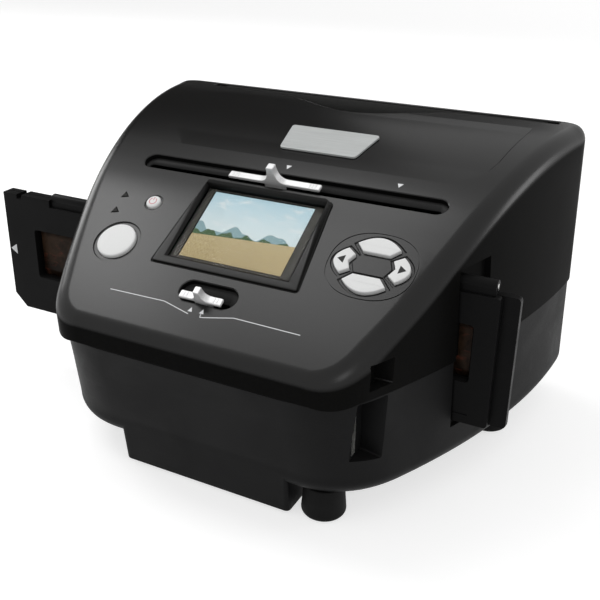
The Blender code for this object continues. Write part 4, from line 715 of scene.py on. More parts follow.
class NodeSheet:
    """Adds and links nodes in one tree."""

    def __init__(self, tree: Tree) -> None:
        """Keep the tree."""
        self.tree = tree

    def add(self, kind: str, **settings: object) -> Node:
        """A new node with some of its settings."""
        node = self.tree.nodes.new(kind)
        for key, value in settings.items():
            setattr(node, key, value)
        return node

    def feed(self, target: Socket, source: object) -> None:
        """Link a socket to another, or set its value."""
        if isinstance(source, Socket):
            self.tree.links.new(source, target)
        else:
            target.default_value = source

    def fill(self, node: Node, **values: object) -> Node:
        """Feed a node's inputs by name, an underscore for each space."""
        for name, value in values.items():
            self.feed(node.inputs[name.replace("_", " ")], value)
        return node

    def math(self, operation: str, *values: object, clamp: bool = False) -> Socket:
        """A maths node."""
        node = self.add("ShaderNodeMath", operation=operation, use_clamp=clamp)
        for socket, value in zip(node.inputs, values):
            self.feed(socket, value)
        return node.outputs[0]

    def noise(self, where: object, scale: object, detail: float = 2.0, rough: float = 0.5,
              twist: float = 0.0) -> Socket:
        """Noise between zero and one."""
        node = self.fill(self.add("ShaderNodeTexNoise"), Vector=where, Scale=scale, Detail=detail,
                         Roughness=rough, Distortion=twist)
        return node.outputs["Fac"]

    def spread(self, value: object, low: object, high: object, to_low: object = 0.0,
               to_high: object = 1.0, soft: bool = True) -> Socket:
        """A value carried from one span to another."""
        node = self.add("ShaderNodeMapRange", interpolation_type="SMOOTHSTEP" if soft else "LINEAR")
        self.fill(node, Value=value, From_Min=low, From_Max=high, To_Min=to_low, To_Max=to_high)
        return node.outputs["Result"]

    def blend(self, share: object, first: object, second: object, way: str = "MIX") -> Socket:
        """Two colours blended by a share."""
        node = self.add("ShaderNodeMix", data_type="RGBA", blend_type=way)
        self.feed(node.inputs[0], share)
        self.feed(node.inputs[6], first)
        self.feed(node.inputs[7], second)
        return node.outputs[2]

    def object_point(self) -> Socket:
        """The place in the object's own frame."""
        return self.add("ShaderNodeTexCoord").outputs["Object"]

    def split(self, vector: object) -> list[Socket]:
        """The three parts of a vector."""
        node = self.add("ShaderNodeSeparateXYZ")
        self.feed(node.inputs[0], vector)
        return list(node.outputs)

    def stretched(self, vector: object, scale: Triple,
                  turn: Triple = (0.0, 0.0, 0.0)) -> Socket:
        """A vector scaled and turned."""
        return self.fill(self.add("ShaderNodeMapping"), Vector=vector, Scale=scale, Rotation=turn).outputs[0]

    def cells(self, where: object, scale: object, spread: float = 1.0, **settings: object) -> Socket:
        """Distance in a pattern of cells."""
        node = self.add("ShaderNodeTexVoronoi", **settings)
        return self.fill(node, Vector=where, Scale=scale, Randomness=spread).outputs["Distance"]

    def bump(self, height: object, strength: float, distance: float) -> Socket:
        """The surface's normal, bent by a height."""
        node = self.add("ShaderNodeBump")
        return self.fill(node, Height=height, Strength=strength, Distance=distance).outputs["Normal"]

    def place(self, group: Tree, **values: object) -> Node:
        """A shared effect, with its inputs by name, an underscore for each space."""
        return self.fill(self.add("ShaderNodeGroup", node_tree=group), **values)


class Effects:
    """Node groups that several finishes share, each built once."""

    def __init__(self) -> None:
        """Build every group."""
        self.grain = self.build_grain()
        self.handling = self.build_handling()
        self.dust = self.build_dust()
        self.brushing = self.build_brushing()
        self.upward = self.build_upward()

    @staticmethod
    def begin(name: str, outputs: Sequence[str], **numbers: float) -> tuple[NodeSheet, object, object]:
        """Start a group whose inputs are a place and some numbers, or nothing at all.

        Args:
            name: The group's name.
            outputs: Names of its outputs, all numbers.
            numbers: Usual value of each number that goes in, an underscore for each space in its name.

        Returns:
            Its sheet, its input sockets and its output sockets.
        """
        tree = bpy.data.node_groups.new(name, "ShaderNodeTree")
        if numbers:
            tree.interface.new_socket(name="Vector", in_out="INPUT", socket_type="NodeSocketVector")
        for label, value in numbers.items():
            socket = tree.interface.new_socket(name=label.replace("_", " "), in_out="INPUT",
                                               socket_type="NodeSocketFloat")
            socket.default_value = value
        for label in outputs:
            tree.interface.new_socket(name=label, in_out="OUTPUT", socket_type="NodeSocketFloat")
        sheet = NodeSheet(tree)
        return sheet, sheet.add("NodeGroupInput").outputs, sheet.add("NodeGroupOutput").inputs

    def build_grain(self) -> Tree:
        """Fine spark-eroded grain of a moulded part: its height, and how it varies the gloss."""
        sheet, into, out = self.begin("moulded_grain", ("Height", "Mask"), Scale=1500.0, Coarse=0.35)
        fine = sheet.noise(into["Vector"], into["Scale"], 3.0, 0.6)
        wide = sheet.noise(into["Vector"], sheet.math("MULTIPLY", into["Scale"], 0.21), 2.0, 0.5)
        sheet.feed(out["Height"], sheet.math("MULTIPLY_ADD", wide, into["Coarse"], fine))
        sheet.feed(out["Mask"], sheet.spread(fine, 0.35, 0.65))
        return sheet.tree

    def build_handling(self) -> Tree:
        """Broad smears where hands polish a surface, and a few faint streaks."""
        sheet, into, out = self.begin("handling", ("Mask",), Size=24.0, Streaks=0.4)
        smears = sheet.noise(into["Vector"], into["Size"], 4.0, 0.55, 0.8)
        drawn = sheet.stretched(into["Vector"], (0.25, 1.0, 1.0))
        streaks = sheet.noise(drawn, sheet.math("MULTIPLY", into["Size"], 9.0), 2.0, 0.5)
        streaks = sheet.math("MULTIPLY", sheet.spread(streaks, 0.55, 0.75), into["Streaks"])
        sheet.feed(out["Mask"], sheet.math("ADD", sheet.spread(smears, 0.35, 0.7), streaks, clamp=True))
        return sheet.tree

    def build_dust(self) -> Tree:
        """A thin film of dust on what faces up, thicker in cloudy patches, with a few specks."""
        sheet, into, out = self.begin("settled_dust", ("Mask",), Amount=0.2, Speck_Scale=700.0)
        facing = sheet.split(sheet.add("ShaderNodeNewGeometry").outputs["Normal"])[2]
        cloud = sheet.spread(sheet.noise(into["Vector"], 16.0, 3.0, 0.6), 0.3, 0.75)
        dots = sheet.spread(sheet.cells(into["Vector"], into["Speck Scale"]), 0.05, 0.12, 0.5, 0.0)
        laid = sheet.math("ADD", cloud, dots, clamp=True)
        laid = sheet.math("MULTIPLY", laid, sheet.spread(facing, 0.1, 0.9))
        sheet.feed(out["Mask"], sheet.math("MULTIPLY", laid, into["Amount"], clamp=True))
        return sheet.tree

    def build_brushing(self) -> Tree:
        """Fine lines of brushed or drawn metal along x."""
        sheet, into, out = self.begin("brushed_lines", ("Height", "Mask"), Scale=2500.0)
        lines = sheet.noise(sheet.stretched(into["Vector"], (0.02, 1.0, 1.0)), into["Scale"], 3.0, 0.6)
        sheet.feed(out["Height"], lines)
        sheet.feed(out["Mask"], sheet.spread(lines, 0.35, 0.65))
        return sheet.tree

    def build_upward(self) -> Tree:
        """What faces up in the object's own frame, where a moulding has its polished side."""
        sheet, _, out = self.begin("polished_side", ("Mask",))
        up = sheet.split(sheet.add("ShaderNodeTexCoord").outputs["Normal"])[2]
        sheet.feed(out["Mask"], sheet.spread(up, 0.05, 0.36))
        return sheet.tree


@dataclass(frozen=True)
class Finish:
    """What every finish has: a name, a colour and the record's slot it belongs to."""

    name: str
    slot: str
    colour: Triple

    def tone(self, scale: float = 1.0) -> Four:
        """Its colour with full alpha, made lighter or darker."""
        return (self.colour[0] * scale, self.colour[1] * scale, self.colour[2] * scale, 1.0)

    def start(self) -> tuple[Material, NodeSheet, Node]:
        """A new material with its sheet and its Principled shader."""
        material = bpy.data.materials.new(self.name)
        material.use_nodes = True
        material.diffuse_color = self.tone()
        return material, NodeSheet(material.node_tree), material.node_tree.nodes["Principled BSDF"]

    def build(self, effects: Effects) -> Material:
        """The finish as a material."""
        raise NotImplementedError(self.name)


@dataclass(frozen=True)
class Moulded(Finish):
    """Moulded plastic with grain, polish from handling and a little dust."""

    roughness: float = 0.45
    grain: float = 1500.0
    depth: float = 0.25
    sheen: float = 0.06
    dust: float = 0.1
    specular: float = 0.5
    coat: float = 0.0
    mottle: float = 0.12
    glazed: float = 0.0

    def build(self, effects: Effects) -> Material:
        """The finish as a material."""
        material, sheet, shader = self.start()
        point = sheet.object_point()
        grain = sheet.place(effects.grain, Vector=point, Scale=self.grain)
        hands = sheet.place(effects.handling, Vector=point).outputs["Mask"]
        dust = sheet.place(effects.dust, Vector=point, Amount=self.dust).outputs["Mask"]
        tone = sheet.blend(grain.outputs["Mask"], self.tone(1 - self.mottle),
                           self.tone(1 + self.mottle))
        gloss = sheet.spread(hands, 0.0, 1.0, self.roughness + self.sheen, self.roughness - self.sheen, False)
        gloss = sheet.math("MULTIPLY_ADD", grain.outputs["Mask"], self.sheen * 0.8, gloss)
        sheet.fill(shader, Base_Color=sheet.blend(dust, tone, (0.2, 0.19, 0.18, 1.0)),
                   Roughness=sheet.math("MULTIPLY_ADD", dust, 0.3, gloss, clamp=True),
                   Normal=sheet.bump(grain.outputs["Height"], self.depth, 0.00012),
                   Specular_IOR_Level=self.specular, Coat_Weight=self.coat, Coat_Roughness=0.12)
        if self.glazed:
            up = sheet.place(effects.upward).outputs["Mask"]
            sheet.fill(shader, Coat_Weight=sheet.math("MULTIPLY_ADD", up, self.glazed, self.coat),
                       Coat_Roughness=0.26)
        return material


@dataclass(frozen=True)
class Metal(Finish):
    """Brushed, drawn or pressed metal, or silver paint that looks like it."""

    roughness: float = 0.3
    metallic: float = 1.0
    lines: float = 2500.0
    depth: float = 0.15
    tarnish: float = 0.15

    def build(self, effects: Effects) -> Material:
        """The finish as a material."""
        material, sheet, shader = self.start()
        point = sheet.object_point()
        brushed = sheet.place(effects.brushing, Vector=point, Scale=self.lines)
        hands = sheet.place(effects.handling, Vector=point, Size=60.0).outputs["Mask"]
        tone = sheet.blend(brushed.outputs["Mask"], self.tone(0.93), self.tone(1.05))
        dull = sheet.math("MULTIPLY", hands, self.tarnish)
        gloss = sheet.math("MULTIPLY_ADD", brushed.outputs["Mask"], 0.08, self.roughness)
        sheet.fill(shader, Metallic=self.metallic,
                   Base_Color=sheet.blend(dull, tone, self.tone(0.55)),
                   Roughness=sheet.math("MULTIPLY_ADD", dull, 0.4, gloss, clamp=True),
                   Normal=sheet.bump(brushed.outputs["Height"], self.depth, 0.00005))
        return material


@dataclass(frozen=True)
class Clear(Finish):
    """A clear pane or lens, with smears that dull it a little."""

    roughness: float = 0.03
    ior: float = 1.45

    def build(self, effects: Effects) -> Material:
        """The finish as a material."""
        material, sheet, shader = self.start()
        hands = sheet.place(effects.handling, Vector=sheet.object_point(), Size=45.0).outputs["Mask"]
        sheet.fill(shader, Base_Color=sheet.blend(hands, self.tone(), self.tone(0.97)),
                   Roughness=sheet.math("MULTIPLY_ADD", hands, 0.03, self.roughness),
                   Transmission_Weight=1.0, IOR=self.ior)
        return material


@dataclass(frozen=True)
class Circuit(Finish):
    """A circuit board: solder mask over fine copper tracks, with rows of plated holes."""

    def build(self, effects: Effects) -> Material:
        """The finish as a material."""
        material, sheet, shader = self.start()
        point = sheet.object_point()
        tracks = sheet.cells(point, 320.0, distance="MANHATTAN", feature="DISTANCE_TO_EDGE")
        copper = sheet.spread(tracks, 0.1, 0.16, 1.0, 0.0)
        plated = sheet.spread(sheet.cells(point, 260.0, 0.15), 0.14, 0.18, 1.0, 0.0)
        grain = sheet.place(effects.grain, Vector=point, Scale=900.0)
        mask = sheet.blend(grain.outputs["Mask"], self.tone(0.85), self.tone(1.1))
        mask = sheet.blend(copper, mask, (0.05, 0.26, 0.12, 1.0))
        sheet.fill(shader, Base_Color=sheet.blend(plated, mask, (0.62, 0.58, 0.48, 1.0)),
                   Roughness=sheet.spread(plated, 0.0, 1.0, 0.42, 0.28))
        return material


@dataclass(frozen=True)
class Ink(Finish):
    """Printed ink: slightly uneven, with tiny gaps where it didn't take."""

    roughness: float = 0.5

    def build(self, effects: Effects) -> Material:
        """The finish as a material."""
        material, sheet, shader = self.start()
        grain = sheet.place(effects.grain, Vector=sheet.object_point(), Scale=2600.0)
        worn = sheet.spread(grain.outputs["Height"], 0.3, 0.42, 0.35, 0.0)
        sheet.fill(shader, Base_Color=sheet.blend(worn, self.tone(), self.tone(0.7)),
                   Roughness=sheet.math("ADD", worn, self.roughness, clamp=True), Specular_IOR_Level=0.1)
        return material


@dataclass(frozen=True)
class Landscape(Finish):
    """The lit screen: hills and a field of grain under a hazy sky, with a black border all round."""

    half_width: float = 0.02448
    half_tall: float = 0.01836
    shift: Point = (-0.0009, 0.0009)
    glow: float = 0.75

    def build(self, effects: Effects) -> Material:
        """The finish as a material."""
        material, sheet, shader = self.start()
        point = sheet.object_point()
        across, up, _ = sheet.split(point)
        across = sheet.math("SUBTRACT", across, self.shift[0])
        up = sheet.math("SUBTRACT", up, self.shift[1])
        sky = sheet.blend(sheet.spread(up, -0.002, 0.02), (0.74, 0.85, 0.87, 1.0), (0.52, 0.72, 0.8, 1.0))
        drift = sheet.noise(sheet.stretched(point, (1.0, 2.6, 1.0)), 95.0, 4.0, 0.55, 0.4)
        sky = sheet.blend(sheet.spread(drift, 0.5, 0.68, 0.0, 0.75), sky, (0.84, 0.9, 0.91, 1.0))
        scene = self.hill(sheet, sky, across, up, -0.0012, 0.0021, 330.0, (0.3, 0.44, 0.47, 1.0))
        scene = self.hill(sheet, scene, across, up, -0.0031, 0.0011, 700.0, (0.1, 0.16, 0.09, 1.0))
        stalks = sheet.noise(sheet.stretched(point, (1.0, 0.28, 1.0)), 2600.0, 4.0, 0.7)
        rows = sheet.noise(sheet.stretched(point, (0.25, 1.5, 1.0), (0.0, 0.0, 0.12)), 520.0, 3.0, 0.55)
        stalks = sheet.spread(stalks, 0.36, 0.64)
        grain = sheet.blend(stalks, (0.4, 0.31, 0.16, 1.0), (0.68, 0.57, 0.35, 1.0))
        grain = sheet.blend(sheet.spread(rows, 0.42, 0.62, 0.0, 0.55), grain, (0.56, 0.46, 0.25, 1.0))
        near = sheet.spread(up, -0.02, -0.004, 0.3, 0.0)
        grain = sheet.blend(near, grain, (0.36, 0.27, 0.13, 1.0))
        edge = sheet.math("MULTIPLY_ADD", across, 0.06, -0.0044)
        scene = sheet.blend(sheet.spread(sheet.math("SUBTRACT", edge, up), -0.0001, 0.0001), scene, grain)
        wide = sheet.math("GREATER_THAN", sheet.math("ABSOLUTE", across), self.half_width)
        tall = sheet.math("GREATER_THAN", sheet.math("ABSOLUTE", up), self.half_tall)
        border = sheet.math("MAXIMUM", wide, tall)
        shown = sheet.blend(border, scene, (0.004, 0.004, 0.005, 1.0))
        sheet.fill(shader, Base_Color=sheet.blend(0.9, shown, (0.0, 0.0, 0.0, 1.0)), Emission_Color=shown,
                   Emission_Strength=self.glow, Roughness=0.6, Specular_IOR_Level=0.0)
        return material

    @staticmethod
    def hill(sheet: NodeSheet, behind: object, across: object, up: object, level: float, rise: float,
             pitch: float, colour: Four) -> Socket:
        """A ridge in front of what lies behind it.

        Args:
            sheet: The picture's nodes.
            behind: Colour of what lies behind.
            across: Place across the picture.
            up: Place up the picture.
            level: Middle height of the ridge.
            rise: How far it rises and falls.
            pitch: How quickly it does so across the picture.
            colour: The ridge's colour.

        Returns:
            The blended colour.
        """
        wave = sheet.math("SINE", sheet.math("MULTIPLY_ADD", across, pitch, pitch * 0.01))
        second = sheet.math("SINE", sheet.math("MULTIPLY", across, pitch * 2.3))
        crest = sheet.math("MULTIPLY_ADD", wave, rise, level)
        crest = sheet.math("MULTIPLY_ADD", second, rise * 0.35, crest)
        cover = sheet.spread(sheet.math("SUBTRACT", crest, up), -0.0001, 0.0002)
        return sheet.blend(cover, behind, colour)


@dataclass(frozen=True)
class FilmBase(Finish):
    """A developed strip: a dark picture in each frame, with red and amber traces and clear bars between."""

    pitch: float = 0.038
    first: float = -0.129
    frame: float = 0.036

    def build(self, effects: Effects) -> Material:
        """The finish as a material."""
        material, sheet, shader = self.start()
        point = sheet.object_point()
        across = sheet.split(point)[0]
        along = sheet.math("DIVIDE", sheet.math("SUBTRACT", across, self.first), self.pitch)
        bar = sheet.math("GREATER_THAN", sheet.math("FRACT", along), self.frame / self.pitch)
        shapes = sheet.noise(point, 110.0, 5.0, 0.6, 0.6)
        traces = sheet.noise(sheet.stretched(point, (1.0, 1.0, 2.4)), 170.0, 4.0, 0.6, 0.9)
        shapes = sheet.spread(shapes, 0.38, 0.62)
        tone = sheet.blend(shapes, self.tone(0.35), self.tone(1.3))
        tone = sheet.blend(sheet.spread(traces, 0.54, 0.74, 0.0, 0.5), tone, (0.13, 0.03, 0.018, 1.0))
        tone = sheet.blend(bar, tone, (0.3, 0.14, 0.05, 1.0))
        hands = sheet.place(effects.handling, Vector=point, Size=70.0).outputs["Mask"]
        sheet.fill(shader, Base_Color=tone, Roughness=sheet.math("MULTIPLY_ADD", hands, 0.15, 0.3),
                   Specular_IOR_Level=0.06)
        return material


@dataclass(frozen=True)
class LampLens(Finish):
    """A small light guide, smoky while its lamp is off."""

    def build(self, effects: Effects) -> Material:
        """The finish as a material."""
        material, sheet, shader = self.start()
        depth = sheet.noise(sheet.object_point(), 900.0)
        sheet.fill(shader, Base_Color=sheet.blend(depth, self.tone(0.8), self.tone(1.2)),
                   Roughness=sheet.math("MULTIPLY_ADD", depth, 0.1, 0.3), Specular_IOR_Level=0.06)
        return material


SHELL = Moulded("satin_black_shell", "satin_black", (0.0055, 0.0054, 0.0052), 0.34, 1300.0, 0.1, 0.03, 0.012,
                0.004, 0.02, 0.12, 0.5)
BASE_SHELL = Moulded("matte_black_shell", "matte_black", (0.005, 0.005, 0.0052), 0.5, 1100.0, 0.3, 0.05,
                     0.02, 0.09)
# Pale grey for the strip on the tray slot's rear wall: painted light that brightens the shaded wall seen
# through the thumb dip.
SLOT_WALL_PAINTED_LIGHT = Moulded("slot_wall_painted_light_grey", "satin_black", (0.05, 0.05, 0.049), 0.75, 2200.0, 0.45, 0.03, 0.03, 0.05)
INNER = Moulded("matte_black_inside", "matte_black", (0.007, 0.007, 0.0072), 0.6, 1200.0, 0.3, 0.05, 0.03,
                0.12)
HOLDER = Moulded("matte_black_holder", "matte_black", (0.0045, 0.0045, 0.0046), 0.45, 1500.0, 0.25, 0.06,
                 0.02, 0.06)
# Slot floors: the black plastic made about three times lighter than the shell, painted light that stands in
# for light reaching into the shaded troughs.
TROUGH_PAINTED_LIGHT = Moulded("slot_floor_lightened_black", "satin_black", (0.016, 0.016, 0.016), 0.5, 1300.0, 0.2, 0.04, 0.03,
                 0.1)
FRAME = Moulded("screen_frame_black", "bezel_black", (0.006, 0.0059, 0.0056), 0.3, 1600.0, 0.12, 0.04, 0.02,
                0.004, 0.02, 0.12, 0.32)
FRAME_LIP = Moulded("screen_lip_grey", "bezel_black", (0.07, 0.067, 0.061), 0.42, 1600.0, 0.12, 0.04, 0.02,
                    0.02)
KEYS = Moulded("white_key", "key_white", (0.77, 0.775, 0.77), 0.32, 1900.0, 0.03, 0.03, 0.01, 0.06, 0.0, 0.01)
RUBBER = Moulded("foot_rubber", "foot_rubber", (0.007, 0.007, 0.007), 0.7, 800.0, 0.5, 0.05, 0.04, 0.12)
OPAL = Moulded("opal_diffuser", "diffuser_white", (0.86, 0.87, 0.84), 0.48, 1400.0, 0.1, 0.03, 0.03, 0.5, 0.0,
               0.02)
SLIDER = Metal("slider_silver", "slider_silver", (0.72, 0.72, 0.72), 0.34, 0.3, 1800.0, 0.04, 0.08)
PLATE = Metal("plate_silver", "plate_silver", (0.46, 0.475, 0.47), 0.4, 0.25, 2600.0, 0.08, 0.06)
SHEET_STEEL = Metal("pressed_steel", "socket_steel", (0.6, 0.6, 0.58), 0.3, 1.0, 1700.0, 0.15, 0.25)
SCREW_STEEL = Metal("screw_steel", "screw_steel", (0.48, 0.48, 0.5), 0.32, 1.0, 2400.0, 0.12, 0.3)
PANE = Clear("clear_pane", "clear_glass", (0.96, 0.97, 0.97), 0.03, 1.07)
LENS = Clear("camera_lens", "clear_glass", (0.9, 0.93, 0.97), 0.02)
BOARD = Circuit("circuit_board", "board_green", (0.02, 0.16, 0.07))
PICTURE = Landscape("screen_landscape", "screen_picture", (0.55, 0.66, 0.72))
FILM = FilmBase("film_base", "film_brown", (0.026, 0.015, 0.009))
LAMP = LampLens("lamp_lens", "lamp_lens", (0.016, 0.016, 0.015))
WHITE_INK = Ink("white_ink", "key_white", (0.74, 0.75, 0.76))
BLACK_INK = Ink("black_ink", "bezel_black", (0.025, 0.025, 0.025), 0.4)
PINK_INK = Ink("pink_ink", "key_white", (0.62, 0.3, 0.32), 0.4)


class Palette:
    """Builds each finish once."""

    def __init__(self, effects: Effects) -> None:
        """Keep the shared effects."""
        self.effects = effects
        self.made: dict[str, Material] = {}

    def get(self, finish: Finish) -> Material:
        """The material of a finish."""
        if finish.name not in self.made:
            self.made[finish.name] = finish.build(self.effects)
        return self.made[finish.name]


@dataclass
class SubAssembly:
    """Pieces that are built and dressed together."""

    shop: Workshop
    palette: Palette
    nodes: dict[str, Item]

    def dress(self, item: Item, finish: Finish, body: Body = Body.BASE,
              stands_for: Sequence[str] = ()) -> Item:
        """Give a piece its finish and its body.

        Args:
            item: The piece.
            finish: Its finish.
            body: What it rides on.
            stands_for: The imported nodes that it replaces.

        Returns:
            The piece.
        """
        item.data.materials.clear()
        item.data.materials.append(self.palette.get(finish))
        if stands_for:
            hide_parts(*stands_for)
        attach(item, body.value)
        LOG.info("built %s on %s in %s", item.name, body.value, finish.name)
        return item

    def restyle(self, name: str, finish: Finish) -> None:
        """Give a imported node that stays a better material."""
        self.nodes[name].data.materials.clear()
        self.nodes[name].data.materials.append(self.palette.get(finish))
        LOG.info("restyled %s in %s", name, finish.name)


@dataclass
class HolderSpace:
    """Where the film holder runs through the housing, shared by both shells."""

    front_y: float = 0.0102
    rear_y: float = 0.0179
    low: float = 0.0345
    tab_top: float = 0.0972
    clear: float = 0.0006
    hinge_radius: float = 0.0026
    recess_front_y: float = 0.008
    recess_rear_y: float = 0.03
    recess_low: float = 0.032
    recess_top: float = 0.103
    recess_depth: float = 0.003
    overrun: float = 0.004

    def blocks(self, shop: Workshop) -> list[Item]:
        """Thick stretches of both side walls around the recesses."""
        inner = FORM.side_half(self.recess_front_y, self.recess_top) - self.recess_depth - FORM.wall
        outer = FORM.side_half(self.recess_rear_y, self.recess_low) + self.overrun
        grow = FORM.wall
        return self.both_sides(shop, "thick_wall", (inner, outer),
                               (self.recess_front_y - grow, self.recess_low - grow),
                               (self.recess_rear_y + grow, self.recess_top + grow))

    @staticmethod
    def both_sides(shop: Workshop, name: str, reach: Point, low: Point, high: Point) -> list[Item]:
        """The same block at both sides.

        Args:
            shop: Where it is made.
            name: Its name.
            reach: From how far to how far out it goes.
            low: Its lower front corner in y and z.
            high: Its upper rear corner in y and z.

        Returns:
            The left block and the right one.
        """
        made = []
        for side in (-1, 1):
            left, right = sorted((side * reach[0], side * reach[1]))
            made.append(shop.block(name, (left, *low), (right, *high)))
        return made

    def recesses(self, shop: Workshop) -> list[Item]:
        """The finger recess in each side wall."""
        made = []
        soft = 0.0008
        for side in (-1, 1):
            rings = []
            for level in (self.recess_low, self.recess_top):
                front = FORM.side_half(self.recess_front_y, level)
                rear = FORM.side_half(self.recess_rear_y, level)
                plan = [(front - self.recess_depth, self.recess_front_y + soft),
                        (front + self.overrun, self.recess_front_y),
                        (rear + self.overrun, self.recess_rear_y),
                        (rear - self.recess_depth, self.recess_rear_y - soft)]
                rings.append([(side * x, y, level) for x, y in plan])
            made.append(shop.skin("recess", rings))
        return made

    def slots(self, shop: Workshop) -> list[Item]:
        """The slot for the holder in each side wall."""
        inner = FORM.side_half(self.recess_front_y, self.recess_top)
        inner -= self.recess_depth + FORM.wall + self.overrun
        outer = FORM.side_half(self.recess_rear_y, self.recess_low) + self.overrun
        clear = self.clear
        return self.both_sides(shop, "holder_slot", (inner, outer), (self.front_y - clear, self.low - clear),
                               (self.rear_y + clear, self.tab_top + self.hinge_radius + clear))


SPACE = HolderSpace()


@dataclass
class KeyPad(SubAssembly):
    """The four segment keys, the round buttons and their printed signs."""

    x: float = 0.059
    v: float = -0.0052
    rise: float = 0.0012
    low: float = -0.0038
    border: float = 0.0013
    ring_depth: float = 0.0006
    pad_ring: Point = (0.01815, 0.016)
    crown: float = 0.0002
    edge: float = 0.0008
    brim: float = 0.001
    sign_radius: float = 0.0017
    sign_opening: float = 0.55
    sign_line: float = 0.00042
    scan: Four = (-0.0565, -0.0186, 0.009, 0.002)
    power: Four = (-0.0505, 0.0055, 0.0034, 0.0009)

    def outlines(self) -> dict[str, Outline]:
        """Outlines of the segment keys about the pad's middle, with slightly rounded corners."""
        arc = curve_between(Vector((0.0091, 0.0093)), Vector((0.0, 0.0179)), Vector((-0.0091, 0.0093)), 14)
        top = [(p.x, p.y) for p in arc] + [(-0.0091, 0.0093), (-0.0057, 0.0057), (0.0057, 0.0057)]
        arc = curve_between(Vector((0.0117, -0.0062)), Vector((0.0203, 0.0)), Vector((0.0117, 0.0062)), 14)
        side = [(p.x, p.y) for p in arc]
        side += [(0.0117, 0.0062), (0.0081, 0.0036), (0.0099, 0.0), (0.0081, -0.0036)]
        return {"mode_key": top, "right_key": side, "enter_key": [(-x, -y) for x, y in top],
                "left_key": [(-x, -y) for x, y in side]}

    def cutters(self) -> list[Item]:
        """Holes in the face for every button, with a shallow groove round each."""
        frame = FORM.on_screen(self.x, self.v)
        edge = 0.0002

        def levels(border: float) -> list[Point]:
            """Levels of a hole with a groove round it."""
            return [(-CUT_DEEP, FORM.gap), (-self.ring_depth, FORM.gap), (-self.ring_depth, border - edge),
                    (-self.ring_depth + edge, border), (-edge, border), (0.0, border + edge),
                    (CUT_ABOVE, border + edge)]

        made = [self.shop.stack(name + "_hole", outline, levels(self.border), frame)
                for name, outline in self.outlines().items()]
        for x, v, radius, ring in (self.scan, self.power):
            frame = FORM.on_screen(x, v)
            made.append(self.shop.stack("round_hole", circle(0, 0, radius), levels(ring), frame))
        return made

    def groove(self) -> Item:
        """The fine groove that runs round the whole pad."""
        shape = bmesh.new()
        turns = [2 * math.pi * i / 96 for i in range(96)]
        rows = []
        for grow, height in ((0.0, -0.0003), (0.00045, -0.0003), (0.00055, 0.002), (-0.0001, 0.002)):
            wide, tall = (half + grow for half in self.pad_ring)
            loop = [(self.bend(math.cos(t)) * wide, self.bend(math.sin(t)) * tall, height) for t in turns]
            rows.append([shape.verts.new(point) for point in loop])
        for low, high in zip(rows, rows[1:] + rows[:1]):
            self.shop.band(shape, low, high)
        return self.shop.enter("pad_groove", shape, FORM.on_screen(self.x, self.v))

    @staticmethod
    def bend(value: float) -> float:
        """A circle's coordinate pulled towards the corners, which gives a squarer ring."""
        return math.copysign(abs(value) ** 0.86, value)

    def build(self) -> None:
        """Build the keys and print their signs."""
        frame = FORM.on_screen(self.x, self.v)
        bodies = {"mode_key": Body.MODE, "right_key": Body.RIGHT, "enter_key": Body.ENTER,
                  "left_key": Body.LEFT}
        for name, outline in self.outlines().items():
            levels = [(self.low, 0.001), (self.low + 0.001, 0.001), (self.low + 0.001, 0.0)]
            levels += soft_top(self.low + 0.0011, self.rise - 0.0001, 0.00045, 0.0001)
            key = self.shop.stack(name + "_cap", outline, levels, frame, 50.0)
            self.dress(self.shop.polish(key, 50.0), KEYS, bodies[name], [name])
        for side, body, word in ((1, Body.RIGHT, "right"), (-1, Body.LEFT, "left")):
            sign = [(side * 0.0145, 0.0), (side * 0.0115, side * 0.002), (side * 0.0115, -side * 0.002)]
            levels = [(self.rise - 0.0001, 0.0), (self.rise + 0.00004, 0.0)]
            self.dress(self.shop.stack(word + "_arrow", sign, levels, frame), BLACK_INK, body)
        self.round_button("scan_button", self.scan, Body.SCAN)
        self.round_button("power_button", self.power, Body.POWER)
        self.power_sign()

    def round_button(self, name: str, spot: Four, body: Body) -> None:
        """A round, slightly crowned button.

        Args:
            name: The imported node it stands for.
            spot: Its place across and up, its radius and its groove.
            body: What it rides on.
        """
        x, v, radius, _ = spot
        profile = [(0.0, self.rise)]
        profile += [(radius * t, self.rise - self.crown * t * t) for t in (0.3, 0.55, 0.78)]
        edge, brim = self.edge, self.brim
        profile += [(radius - edge * (1 - sine), self.rise - self.crown - edge * (1 - cosine))
                    for cosine, sine in quarter(6)]
        profile += [(radius, self.low + brim), (radius + brim, self.low + brim), (radius + brim, self.low),
                    (0.0, self.low)]
        self.dress(self.shop.turned(name + "_cap", profile, FORM.on_screen(x, v), 80), KEYS, body, [name])

    def power_sign(self) -> None:
        """The open ring and stroke on the power button."""
        x, v, _, _ = self.power
        frame = FORM.on_screen(x, v)
        low = self.rise - 0.0003
        high = self.rise + 0.00002
        span = 2 * math.pi - 2 * self.sign_opening
        turns = [self.sign_opening + i * span / 30 for i in range(31)]
        arc = [(self.sign_radius * math.sin(t), self.sign_radius * math.cos(t)) for t in turns]
        for name, path in (("power_ring", arc), ("power_stroke", [(0.0, 0.0004), (0.0, 0.0021)])):
            line = self.shop.ribbon(name, path, self.sign_line, low, high, frame)
            self.dress(line, PINK_INK, Body.POWER)


